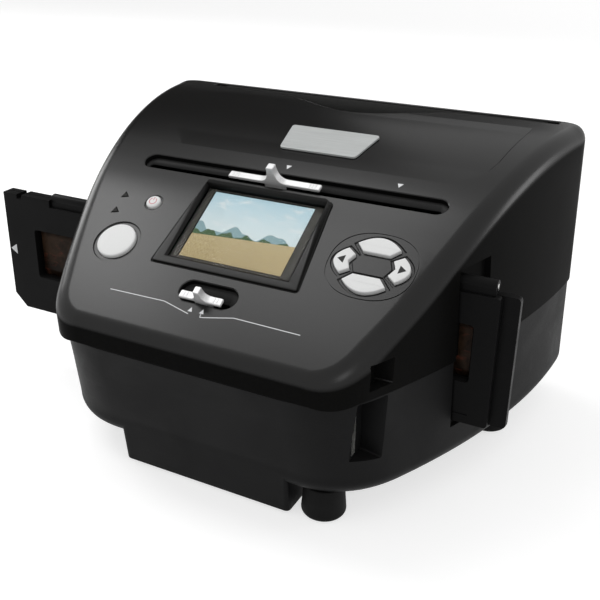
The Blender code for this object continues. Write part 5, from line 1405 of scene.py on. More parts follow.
@dataclass
class UpperShell(SubAssembly):
    """The sloping upper housing with every opening of the control face."""

    base_level: float = 0.0633
    foot_round: float = 0.0005
    soft: float = 0.0004
    tray_x: float = 0.006
    tray_half: float = 0.0935
    tray_front_y: float = 0.1172
    tray_rear_y: float = 0.1224
    # Sizes of the pale strip of painted light on the tray slot's rear wall.
    light_strip_half: float = 0.088
    light_strip_thickness: float = 0.0003
    light_strip_levels: Point = (0.13, 0.1371)
    dip_x: float = 0.003
    dip_half: float = 0.044
    dip_depth: float = 0.013
    dip_floor: float = 0.131
    upper_slot: Four = (0.004, 0.0272, 0.074, 0.0092)
    lower_slot: Four = (-0.0011, -0.0345, 0.0134, 0.0103)
    slits: Point = (-0.0019, -0.0032)
    recess_depth: float = 0.0006
    recess_y: Point = (0.04, 0.108)
    recess_fade: tuple[Point, Point] = ((0.0412, 0.012), (0.104, 0.008))
    recess_right: tuple[Point, ...] = ((0.04, 0.068), (0.0415, 0.0725), (0.044, 0.078), (0.0475, 0.0822),
                                       (0.054, 0.0858), (0.062, 0.0878), (0.094, 0.0908), (0.108, 0.0918))
    recess_left: tuple[Point, ...] = ((0.04, -0.063), (0.05, -0.066), (0.108, -0.0776))
    usb_low: Triple = (0.0712, -0.0372, 0.0676)
    usb_high: Triple = (0.0712, -0.0268, 0.0784)
    usb_mouth_x: float = 0.1145
    usb_hole: tuple[Triple, Triple] = ((0.0651, -0.0353, 0.0687), (0.0752, -0.0313, 0.0773))
    pilot_radius: float = 0.0018
    pilot_levels: Point = (0.059, 0.0733)
    post_radius: float = 0.0045
    board_posts: tuple[Point, ...] = ((-0.0365, -0.0235), (0.0365, -0.0235), (-0.0365, 0.01),
                                      (0.0365, 0.01))

    def outside(self) -> Item:
        """The outer form, from the softened lower edge over the rounded rim onto the face."""
        form = FORM
        rings = []
        for cosine, sine in quarter(3):
            inset = [self.foot_round * (1 - sine)] * form.point_count()
            height = self.base_level + self.foot_round * (1 - cosine)
            rings.append([Vector((p.x, p.y, height))
                          for p in form.around(self.base_level, inset)])
        radii = form.rim_radii()
        below = form.around(lambda y: form.face_height(y) - 0.01, [0.0] * form.point_count())
        rings.append([Vector((p.x, p.y, form.face_height(p.y) - 2 * r - 0.002))
                      for p, r in zip(below, radii)])
        for cosine, sine in quarter(form.rim_steps):
            points = form.around(form.face_height, [r * (1 - cosine) for r in radii])
            rings.append([Vector((p.x, p.y, form.face_height(p.y) - r * (1 - sine)))
                          for p, r in zip(points, radii)])
        return self.shop.loft("upper_shell", rings)

    def inside(self) -> Item:
        """The hollow, less the solid stretches that stay around the openings."""
        form = FORM
        count = form.point_count()
        radii = form.rim_radii()
        base = form.around(form.split_level, [form.wall] * count)
        low = [Vector((p.x, p.y, form.split_level - 0.004)) for p in base]
        sides = form.around(form.face_height, [form.wall] * count)
        shoulder = [Vector((p.x, p.y, form.face_height(p.y) - form.wall - r)) for p, r in zip(sides, radii)]
        under = form.around(form.face_height, [form.wall + r * 0.33 for r in radii])
        top = [Vector((p.x, p.y, form.face_height(p.y) - form.wall / math.cos(form.face_slope(p.y))))
               for p in under]
        hollow = self.shop.loft("upper_hollow", [low, shoulder, top])
        web = 0.0021
        kept = SPACE.blocks(self.shop)
        kept.append(self.shop.stack("dip_block", self.dip(form.wall + 0.003),
                                    [(self.dip_floor - form.wall, 0.0), (form.top_level + 0.004, 0.0)]))
        kept.append(self.shop.block("usb_block", [v - web for v in self.usb_low],
                                    (self.usb_mouth_x, self.usb_high[1] + web, self.usb_high[2] + web)))
        for x, y in HOUSING_POSTS:
            kept.append(self.shop.stack("post", circle(x, y, self.post_radius, 32),
                                        [(form.split_level - 0.008, 0.0), (form.top_level + 0.004, 0.0)]))
        for x, v in self.board_posts:
            kept.append(self.shop.stack("board_post", circle(0, 0, 0.0028, 24), [(-0.0067, 0.0), (0.0, 0.0)],
                                        form.on_screen(x, v)))
        return self.shop.carve(hollow, kept)

    def dip(self, grow: float) -> Outline:
        """Plan of the thumb dip in front of the tray slot: a soft bell, anticlockwise.

        Args:
            grow: How far the bell is widened.

        Returns:
            Its points.
        """
        points = []
        for i in range(41):
            share = i / 20 - 1
            bell = math.cos(math.pi / 2 * share) ** 2
            points.append((self.dip_x + (self.dip_half + grow) * share,
                           self.tray_front_y - (self.dip_depth + grow) * bell))
        rear_y = self.tray_front_y + 0.004
        half = self.dip_half + grow
        return points + [(self.dip_x + half, rear_y), (self.dip_x - half, rear_y)]

    def dip_tool(self) -> Item:
        """The dip as a soft funnel, steep below and rounded over at its lip."""
        lips = ((0.131, 0.0), (0.1322, 0.0005), (0.134, 0.0016), (0.1356, 0.0032), (0.1368, 0.0056),
                (0.1375, 0.009), (0.1389, 0.016))
        loops = [[(x, y, height) for x, y in self.dip(grow)] for height, grow in lips]
        return self.shop.skin("dip", loops, cut_caps=True)

    def build(self, openings: Sequence[Item], through: Sequence[Item]) -> None:
        """Build the shell.

        Args:
            openings: Cutters of the screen, keys, lamps and plate.
            through: Cutters that cross some of those.
        """
        form = FORM
        shell = self.shop.carve(self.outside(), [self.inside()])
        x, y, half, width = self.upper_slot
        cuts = list(openings) + SPACE.recesses(self.shop)
        levels = flared(CUT_DEEP, self.soft, CUT_ABOVE)
        cuts.append(self.shop.stack("upper_slot", stadium(0, 0, half, width), levels, form.on_face(x, y)))
        x, y, half, width = self.lower_slot
        cuts.append(self.shop.stack("lower_slot", stadium(x, y, half, width), levels, form.on_screen()))
        cuts.append(self.usb_bay())
        cuts.append(self.dip_tool())
        self.shop.carve(shell, cuts)
        slot = rectangle(self.tray_x - self.tray_half, self.tray_front_y, self.tray_x + self.tray_half,
                         self.tray_rear_y)
        slot_levels = [(0.1245, 0.0), (0.137, 0.0), (0.1377, 0.0002), (0.13815, 0.0008)]
        more = [self.shop.stack("tray_slot", slot, slot_levels)]
        more += list(through) + SPACE.slots(self.shop)
        more.append(self.shop.block("usb_hole", *self.usb_hole))
        for x, y in HOUSING_POSTS:
            more.append(self.shop.stack("pilot", circle(x, y, self.pilot_radius, 20),
                                        [(level, 0.0) for level in self.pilot_levels]))
        self.shop.carve(shell, more)
        self.shop.carve(shell, [self.recess_tool()])
        self.dress(self.shop.polish(shell), SHELL, Body.BASE, ["upper_housing"])
        x, y, half, width = self.upper_slot
        self.slot_floor("upper_slot_floor", form.on_face(x, y), (half, width), self.slits[0])
        x, y, half, width = self.lower_slot
        self.slot_floor("lower_slot_floor", form.on_screen(x, y), (half, width), self.slits[1])
        self.painted_light_strip()

    def painted_light_strip(self) -> None:
        """A thin pale grey strip on the rear wall of the tray slot, seen through the thumb dip: painted light
        that makes the shaded wall look lit.
        """
        plan = rounded(rectangle(self.tray_x - self.light_strip_half, self.tray_rear_y - self.light_strip_thickness,
                                 self.tray_x + self.light_strip_half, self.tray_rear_y), 0.0001, 2)
        low, high = self.light_strip_levels
        edge = 0.0001
        levels = [(low, -edge / 2), (low + edge, 0.0), (high - edge, 0.0), (high, -edge / 2)]
        # The strip's pale grey is painted light on the shaded slot wall.
        self.dress(self.shop.stack("tray_slot_painted_light", plan, levels), SLOT_WALL_PAINTED_LIGHT)

    def slot_floor(self, name: str, frame: Matrix, size: Point, slit_y: float) -> None:
        """The floor under a slider's slot, with a narrow slit for the knob's stem; its finish is lightened
        black, painted light in the shaded trough.

        Args:
            name: The piece's name.
            frame: The slot's place on the face.
            size: Half the slot's length, and its width.
            slit_y: Where the slit runs, from the slot's middle.
        """
        half, width = size
        levels = [(-0.0032, 0.0), (-0.0025, 0.0)]
        floor = self.shop.stack(name, stadium(0, 0, half + 0.0008, width + 0.0016), levels, frame)
        levels = [(-0.006, 0.0), (0.0, 0.0)]
        slit = self.shop.stack("slit", stadium(0, slit_y, half - 0.0022, 0.0038), levels, frame)
        # The floor's lightened black is painted light in the shaded slot.
        self.dress(self.shop.carve(floor, [slit]), TROUGH_PAINTED_LIGHT)

    def recess_tool(self) -> Item:
        """Cutter for the shallow recess behind the slot: crisp at right, soft at left, fading at its ends."""
        rings = []
        start, end = self.recess_y
        (front, front_run), (rear, rear_run) = self.recess_fade
        for i in range(49):
            y = start + (end - start) * i / 48
            low = -self.recess_depth * min(1.0, (y - front) / front_run, (rear - y) / rear_run)
            level = FORM.face_height(y)
            left = self.across(self.recess_left, y)
            right = self.across(self.recess_right, y)
            section = [(left + 0.004, low), (right - 0.0002, low), (right + 0.0008, low + 0.0008),
                       (right + 0.0008, 0.003), (left - 0.004, 0.003), (left - 0.004, low + 0.0006)]
            rings.append([(x, y, level + z) for x, z in section])
        return self.shop.skin("recess", rings)

    @staticmethod
    def across(edge: Sequence[Point], y: float) -> float:
        """Where an edge given as pairs of y and x stands at a place."""
        for (near, first), (far, second) in zip(edge[:-1], edge[1:]):
            if y <= far:
                return first + (second - first) * max(0.0, y - near) / (far - near)
        return edge[-1][1]

    def usb_bay(self) -> Item:
        """The small bay above the split line in the right wall, its mouth a little wider than its floor."""
        floor_x, low_y, low_z = self.usb_low
        _, high_y, high_z = self.usb_high
        mouths = [(x, low_y - grow, low_z - grow * 0.4, high_y + grow, high_z + grow * 0.4)
                  for x, grow in ((floor_x, 0.0), (0.076, 0.0004), (self.usb_mouth_x, 0.003))]
        return self.shop.bay("usb_bay", mouths, 0.0008)


@dataclass
class LowerShell(SubAssembly):
    """The dark lower housing with its leaning front, the skirt under it, screw wells and the card bay."""

    lip: float = 0.0008
    corner: float = 0.024
    crease: Point = (0.048, -0.0475)
    foot: Point = (0.026, -0.0425)
    curb: float = 0.023
    curve: float = 0.008
    floor: float = 0.0175
    skirt_half: float = 0.0415
    skirt_depth: float = 0.024
    skirt_level: float = 0.0015
    skirt_front_y: float = -0.039
    skirt_wall: float = 0.002
    skirt_round: float = 0.0026
    well_radius: float = 0.0036
    well_levels: Levels = ((0.0, 0.0006), (0.015, 0.0006), (0.0156, 0.0), (0.06, 0.0))
    screw_radius: float = 0.0018
    foot_radius: float = 0.0033
    card_block: tuple[Triple, Triple] = ((0.0644, -0.0396, 0.0319), (0.117, -0.0239, 0.071))
    card_hole: tuple[Triple, Triple] = ((0.0604, -0.0349, 0.0349), (0.0705, -0.0313, 0.0605))

    def lean(self, level: float) -> float:
        """Where the front stands at a level, from its foot down over the skirt."""
        share = (self.foot[0] - level) / (self.foot[0] - self.skirt_level)
        return self.foot[1] + (self.skirt_front_y - self.foot[1]) * share

    def ring(self, plan_level: float, height: float, front_y: float, inset: float) -> list[Vector]:
        """One ring of the wall.

        Args:
            plan_level: Level whose plan is used.
            height: Height it is set at.
            front_y: Where the front stands.
            inset: How far it is moved inwards.

        Returns:
            The ring's right-hand points.
        """
        insets = [self.lip + inset] * FORM.point_count()
        points = FORM.plan(plan_level, front_y - self.lip, self.corner, insets)
        return [Vector((p.x, p.y, height)) for p in points]

    def wall(self, inset: float) -> list[list[Vector]]:
        """Rings from the split line down to the curb, the crease in the front softened."""
        fronts = [(FORM.split_level, FORM.front_y + self.lip), (0.0492, -0.04778), self.crease,
                  (0.0468, -0.04718), self.foot, (self.curb, self.lean(self.curb))]
        return [self.ring(level, level, front_y, inset) for level, front_y in fronts]

    def outside(self) -> Item:
        """The outer form with its rounded bottom edge."""
        rings = self.wall(0.0)
        top = self.ring(FORM.split_level, FORM.split_level, FORM.front_y + self.lip, 0.0003)
        rings[0] = self.ring(FORM.split_level, FORM.split_level - 0.0003, FORM.front_y + self.lip, 0.0)
        rings.insert(0, top)
        for cosine, sine in quarter(9)[1:]:
            height = FORM.bottom_level + self.curve * (1 - sine)
            rings.append(self.ring(self.curb, height, self.lean(self.curb), self.curve * (1 - cosine)))
        return self.shop.loft("lower_shell", rings)

    def inside(self) -> Item:
        """The hollow, less what stays solid around the openings."""
        rings = self.wall(FORM.wall)
        lifted = [Vector((p.x, p.y, FORM.split_level + 0.004)) for p in rings[0]]
        floor = self.ring(self.curb, self.floor, self.lean(self.curb), self.curve)
        hollow = self.shop.loft("lower_hollow", [lifted] + rings + [floor])
        kept = SPACE.blocks(self.shop)
        kept.append(self.shop.block("card_block", *self.card_block))
        for x, y in HOUSING_POSTS:
            kept.append(self.shop.stack("post", circle(x, y, self.well_radius + 0.002, 40),
                                        [(0.0, 0.0), (0.071, 0.0)]))
        return self.shop.carve(hollow, kept)

    def skirt(self, wall: float, low: float, high: float) -> Item:
        """The box under the front, or its hollow where a wall is given.

        Args:
            wall: Thickness of the wall around the hollow, or zero for the box.
            low: Where it starts.
            high: Where it ends.

        Returns:
            The solid.
        """
        rear_y = self.skirt_front_y + self.skirt_depth
        half = self.skirt_half - wall
        outline = rounded(rectangle(-half, self.skirt_front_y + wall, half, rear_y - wall), self.skirt_round)
        levels = [(low, 0.0), (high, 0.0)]
        if not wall:
            levels = [(low, -0.0006), (low + 0.0002, -0.0002), (low + 0.0006, 0.0), (high, 0.0)]
        block = self.shop.stack("skirt", outline, levels)
        for vertex in block.data.vertices:
            lean = self.lean(vertex.co.z) - self.skirt_front_y
            vertex.co.y += lean * (rear_y - vertex.co.y) / self.skirt_depth
        return block

    def card_bay(self) -> Item:
        """The tall card bay in the right wall, tapering inwards to its floor."""
        return self.shop.bay("card_bay", ((0.0665, -0.0375, 0.034, -0.026, 0.0612),
                                          (0.072, -0.0392, 0.0334, -0.0264, 0.0616),
                                          (0.09, -0.0447, 0.0316, -0.0278, 0.064)), 0.001)

    def build(self) -> None:
        """Build the lower shell."""
        shell = self.outside()
        self.shop.carve(shell, [self.skirt(0.0, self.skirt_level, (self.curb + self.foot[0]) / 2)], Cut.ADD)
        self.shop.carve(shell, [self.inside()])
        cuts = SPACE.recesses(self.shop)
        cuts.append(self.skirt(self.skirt_wall, self.skirt_level - 0.004, FORM.bottom_level + FORM.gap))
        cuts.append(self.card_bay())
        for x, y in HOUSING_POSTS:
            cuts.append(self.shop.stack("well", circle(x, y, self.well_radius, 48), self.well_levels))
        for x, y in FEET.values():
            cuts.append(self.shop.stack("foot_hole", circle(x, y, self.foot_radius, 32),
                                        [(0.0, 0.0), (0.0178, 0.0)]))
        self.shop.carve(shell, cuts)
        more = SPACE.slots(self.shop)
        more.append(self.shop.block("card_hole", *self.card_hole))
        for x, y in HOUSING_POSTS:
            more.append(self.shop.stack("screw_hole", circle(x, y, self.screw_radius, 24),
                                        [(0.0592, 0.0), (0.067, 0.0)]))
        self.shop.carve(shell, more)
        self.dress(self.shop.polish(shell), BASE_SHELL, Body.BASE, ["lower_housing"])


@dataclass
class ScreenUnit(SubAssembly):
    """The raised screen frame with its pane, the printed mask behind it and the display."""

    top_half: float = 0.031
    bottom_half: float = 0.035
    top_v: float = 0.0225
    bottom_v: float = -0.0247
    low_rise: float = 0.0006
    high_rise: float = 0.0028
    low: float = -0.0007
    seat: float = 0.001
    corner: float = 0.0015
    pane_half: Point = (0.02938, 0.02056)
    pane_top: float = -0.001
    pane_thickness: float = 0.001
    lip: float = 0.0006
    picture_half: Point = (PICTURE.half_width, PICTURE.half_tall)
    picture_shift: Point = PICTURE.shift
    panel_half: Point = (0.02608, 0.01996)
    panel_top: float = -0.0023
    panel_thickness: float = 0.0024

    def outline(self) -> Outline:
        """The frame's outer trapezoid."""
        corners = [(-self.bottom_half, self.bottom_v), (self.bottom_half, self.bottom_v),
                   (self.top_half, self.top_v), (-self.top_half, self.top_v)]
        return rounded(corners, self.corner)

    def seat_tool(self) -> Item:
        """Cutter for the frame's seat in the face."""
        gap = FORM.gap
        edge = 0.0002
        levels = [(-self.seat, gap), (-edge, gap), (0.0, gap + edge), (CUT_ABOVE, gap + edge)]
        return self.shop.stack("screen_seat", self.outline(), levels, FORM.on_screen())

    def opening_tool(self) -> Item:
        """Cutter for the window in the face."""
        wide = self.pane_half[0] + FORM.gap
        tall = self.pane_half[1] + FORM.gap
        return self.shop.block("window_opening", (-wide, -tall, -CUT_DEEP), (wide, tall, CUT_ABOVE),
                               FORM.on_screen())

    def raised(self, item: Item, lean: float = 0.0) -> Item:
        """Tilt a frame's top, low at the bottom of the screen and high at its top, and lean its sides in."""
        for vertex in item.data.vertices:
            if vertex.co.z > 0.0:
                share = (vertex.co.y - self.bottom_v) / (self.top_v - self.bottom_v)
                inwards = lean * share * max(0.0, vertex.co.z - 0.0005) / self.high_rise
                vertex.co.x -= math.copysign(inwards, vertex.co.x)
                here = self.low_rise + (self.high_rise - self.low_rise) * share
                vertex.co.z = here + (vertex.co.z - self.high_rise) * (0.4 + 0.6 * share)
        return item

    def build(self) -> None:
        """Build the frame, the pane, the mask and the display."""
        frame = FORM.on_screen()
        levels = [(self.low, 0.0), (0.0002, 0.0), (0.0003, -0.0001), (0.0004, -0.0004)]
        levels += [(z, out - 0.0004) for z, out in soft_top(0.0005, self.high_rise, 0.0005)]
        outer = self.raised(self.shop.stack("screen_frame", self.outline(), levels, frame), 0.002)
        wide = self.pane_half[0] - self.lip
        tall = self.pane_half[1] - self.lip
        hole = rectangle(-wide, -tall, wide, tall)
        cutter = [(-0.004, 0.0), (0.0002, 0.0), (0.0006, 0.00005), (self.high_rise - 0.0008, 0.0007),
                  (self.high_rise - 0.0003, 0.001), (self.high_rise, 0.0016), (0.006, 0.0019)]
        tool = self.raised(self.shop.stack("window_cut", hole, cutter, frame))
        self.dress(self.shop.polish(self.shop.carve(outer, [tool])), FRAME, Body.BASE, ["lcd_bezel"])
        pane = rounded(rectangle(-self.pane_half[0], -self.pane_half[1], *self.pane_half), 0.0008, 3)
        thick = [(self.pane_top - self.pane_thickness, 0.0), (self.pane_top - 0.0001, 0.0),
                 (self.pane_top, -0.0001)]
        self.dress(self.shop.stack("screen_pane", pane, thick, frame), PANE, Body.BASE, ["display_window"])
        self.mask(frame)
        panel = rounded(rectangle(-self.panel_half[0], -self.panel_half[1], *self.panel_half), 0.0006, 3)
        edge = 0.0002
        under = self.panel_top - self.panel_thickness
        thick = [(under, -edge), (under + edge, 0.0), (self.panel_top - edge, 0.0), (self.panel_top, -edge)]
        self.dress(self.shop.stack("display_panel", panel, thick, frame), PICTURE, Body.BASE, ["lcd_panel"])

    def mask(self, frame: Matrix) -> None:
        """The grey mask printed behind the pane, with rounded inner corners."""
        under = self.pane_top - self.pane_thickness
        outer = moved_out(rectangle(-self.pane_half[0], -self.pane_half[1], *self.pane_half), -0.0002)
        mask = self.shop.stack("screen_mask", outer, [(under - 0.00012, 0.0), (under - 0.00002, 0.0)], frame)
        edge = 0.0004
        x, v = self.picture_shift
        wide = self.picture_half[0] + edge
        tall = self.picture_half[1] + edge
        inner = rounded(rectangle(x - wide, v - tall, x + wide, v + tall), 0.0012)
        hole = self.shop.stack("mask_cut", inner, [(under - 0.002, 0.0), (under + 0.002, 0.0)], frame)
        self.dress(self.shop.carve(mask, [hole]), FRAME_LIP)


@dataclass
class Lamps(SubAssembly):
    """The two small triangular lamps at the left of the screen."""

    x: float = -0.067
    places: tuple[tuple[str, float], ...] = (("photo_lamp_light", 0.0067), ("film_lamp_light", -0.0027))
    radius: float = 0.0019
    rise: float = 0.0003
    low: float = -0.0067

    def outline(self, grow: float = 0.0) -> Outline:
        """A triangle with one corner to the right."""
        turns = [math.radians(angle) for angle in (-14, 106, 226)]
        reach = self.radius + grow * 2
        return rounded([(reach * math.cos(t), reach * math.sin(t)) for t in turns], 0.0003, 4)

    def cutters(self) -> list[Item]:
        """Their holes in the face."""
        levels = flared(CUT_DEEP + 0.001, 0.0001, CUT_ABOVE)
        return [self.shop.stack("lamp_hole", self.outline(FORM.gap * 0.7), levels, FORM.on_screen(self.x, v))
                for _, v in self.places]

    def build(self) -> None:
        """Build both light guides."""
        for name, v in self.places:
            levels = [(self.low, 0.0)] + soft_top(-0.001, self.rise, 0.00025)
            lamp = self.shop.stack(name + "_guide", self.outline(), levels, FORM.on_screen(self.x, v))
            self.dress(lamp, LAMP, Body.BASE, [name])


@dataclass
class NamePlate(SubAssembly):
    """The bare silver plate near the top of the face, in a shallow pocket."""

    x: float = 0.0088
    y: float = 0.0588
    long: float = 0.0214
    top_half: float = 0.0224
    bottom_half: float = 0.0188
    sink: float = 0.0004
    rise: float = 0.0006
    corner: float = 0.002

    def outline(self) -> Outline:
        """The plate's rounded trapezoid."""
        half = self.long / 2
        return rounded([(-self.bottom_half, -half), (self.bottom_half, -half), (self.top_half, half),
                        (-self.top_half, half)], self.corner)

    def cutter(self) -> Item:
        """The pocket in the face."""
        levels = [(-self.sink - FORM.gap, FORM.gap), (-0.0001, FORM.gap), (0.0003, FORM.gap + 0.0003),
                  (CUT_ABOVE, FORM.gap + 0.0003)]
        return self.shop.stack("plate_pocket", self.outline(), levels, FORM.on_face(self.x, self.y))

    def build(self) -> None:
        """Build the plate."""
        levels = [(-self.sink, 0.0)] + soft_top(-0.0002, self.rise, 0.0003, 0.0, 6)
        plate = self.shop.stack("bare_plate", self.outline(), levels, FORM.on_face(self.x, self.y))
        self.dress(self.shop.polish(plate), PLATE, Body.BASE, ["name_plate"])


@dataclass(frozen=True)
class SliderForm:
    """Sizes of one slider knob."""

    wing_half: float
    wing: float
    fin_tall: float
    fin_half: float
    flare: float
    depth: float
    lift: float
    stem_half: float
    stem_depth: float
    stem_long: float

    def outline(self) -> Outline:
        """Front view of the knob: two flat wings and a fin that flares into them."""
        radius = self.wing * 0.3
        flare = curve_between(Vector((self.flare, self.wing)), Vector((self.fin_half, self.wing)),
                              Vector((self.fin_half, self.fin_tall - radius)), 14)
        right = [(self.wing_half - radius, 0.0), (self.wing_half - radius * 0.3, self.wing * 0.12),
                 (self.wing_half, self.wing / 2), (self.wing_half - radius * 0.3, self.wing * 0.88),
                 (self.wing_half - radius, self.wing)]
        right += [(p.x, p.y) for p in flare]
        right += [(self.fin_half - radius * (1 - cosine), self.fin_tall - radius * (1 - sine))
                  for cosine, sine in quarter(5)]
        points = right + [(-x, y) for x, y in reversed(right)]
        return [(x, y + self.lift) for x, y in points]


@dataclass
class Sliders(SubAssembly):
    """The large mode slider above the screen and the small focus slider below it."""

    mode: SliderForm = field(default=SliderForm(0.0225, 0.0016, 0.0095, 0.0017, 0.0068, 0.0036, 0.0003,
                                                0.0045, 0.003, 0.0036))
    focus: SliderForm = field(default=SliderForm(0.01, 0.0015, 0.0066, 0.0014, 0.0046, 0.0035, 0.0003,
                                                 0.003, 0.003, 0.0069))
    mode_y: float = 0.0253
    focus_place: Point = (-0.0023, -0.0377)
    ridge_radius: float = 0.00045
    ridge_pitch: float = 0.0014
    ridge_rise: float = 0.0002

    def build(self) -> None:
        """Build both knobs."""
        self.knob("mode_slider_knob", FORM.on_face(0, self.mode_y), self.mode, Body.BACKLIGHT)
        self.knob("focus_slider_knob", FORM.on_screen(*self.focus_place), self.focus, Body.FOCUS)

    def knob(self, name: str, frame: Matrix, form: SliderForm, body: Body) -> None:
        """One knob with its stem and ridges.

        Args:
            name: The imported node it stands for.
            frame: Its place on the face.
            form: Its sizes.
            body: What it rides on.
        """
        standing = frame @ Matrix.Rotation(math.pi / 2, 4, "X")
        half = form.depth / 2
        edge = 0.00045
        levels = [(-half + edge * (1 - cosine), -edge * (1 - sine)) for cosine, sine in quarter(5)]
        levels += [(-z, out) for z, out in reversed(levels)]
        knob = self.shop.polish(self.shop.stack(name + "_cap", form.outline(), levels, standing, 50.0), 50.0)
        deep = form.stem_depth / 2
        plan = rounded(rectangle(-form.stem_half, -deep, form.stem_half, deep), 0.0004, 3)
        reach = [(-form.stem_long, 0.0), (form.lift + form.wing / 2, 0.0)]
        parts = [knob, self.shop.stack("stem", plan, reach, frame)]
        height = form.wing + form.lift - self.ridge_radius + self.ridge_rise
        reach = half - 0.0006
        for side in (-1, 1):
            for i in range(3):
                x = side * (form.wing_half - form.wing / 2 - self.ridge_pitch * (i + 1))
                if abs(x) > form.flare + self.ridge_radius:
                    parts.append(self.ridge(frame, x, height, reach))
        self.dress(self.shop.merged(parts), SLIDER, body, [name])

    def ridge(self, frame: Matrix, x: float, height: float, reach: float) -> Item:
        """A rounded grip ridge across a wing.

        Args:
            frame: The knob's place on the face.
            x: Its place along the wing.
            height: Height of its middle.
            reach: Half its length.

        Returns:
            The ridge.
        """
        radius = self.ridge_radius
        profile = [(0.0, reach)]
        profile += [(radius * math.sin(t), reach - radius * 0.6 * (1 - math.cos(t)))
                    for t in (0.5, 0.9, 1.25, 1.57)]
        profile += [(r, -z) for r, z in reversed(profile)]
        place = frame @ Matrix.Translation((x, 0, height)) @ Matrix.Rotation(math.pi / 2, 4, "X")
        return self.shop.turned("ridge", profile, place, 28)


@dataclass
class FaceMarks(SubAssembly):
    """Printed leader lines and small triangles on the face."""

    width: float = 0.00035
    low: float = -0.00008
    high: float = 0.00002
    leaders: tuple[tuple[Point, ...], ...] = (
        ((-0.0452, -0.0427), (-0.0181, -0.0423), (-0.0048, -0.0454)),
        ((0.0005, -0.0442), (0.0009, -0.0457), (0.0022, -0.0455), (0.0149, -0.0424), (0.0442, -0.0428)),
    )
    focus_signs: tuple[Point, ...] = ((-0.00475, -0.0431), (0.0006, -0.0429))
    slot_signs: tuple[Point, ...] = ((0.001, 0.036), (0.054, 0.0353))

    def build(self) -> None:
        """Print the marks."""
        screen = FORM.on_screen()
        for i, path in enumerate(self.leaders):
            line = self.shop.ribbon(f"leader_line_{i + 1}", path, self.width, self.low, self.high, screen)
            self.dress(line, WHITE_INK)
        for i, (x, v) in enumerate(self.focus_signs):
            self.sign(f"focus_mark_{i + 1}", FORM.on_screen(x, v), 1.0)
        for i, (x, y) in enumerate(self.slot_signs):
            self.sign(f"slot_mark_{i + 1}", FORM.on_face(x, y), -1.25)

    def sign(self, name: str, frame: Matrix, size: float) -> None:
        """A small printed triangle, pointing up the face, or down it where its size is negative."""
        outline = [(-0.00105 * size, -0.0011 * size), (0.00105 * size, -0.0011 * size), (0.0, 0.0011 * size)]
        self.dress(self.shop.stack(name, outline, [(self.low, 0.0), (self.high, 0.0)], frame), WHITE_INK)


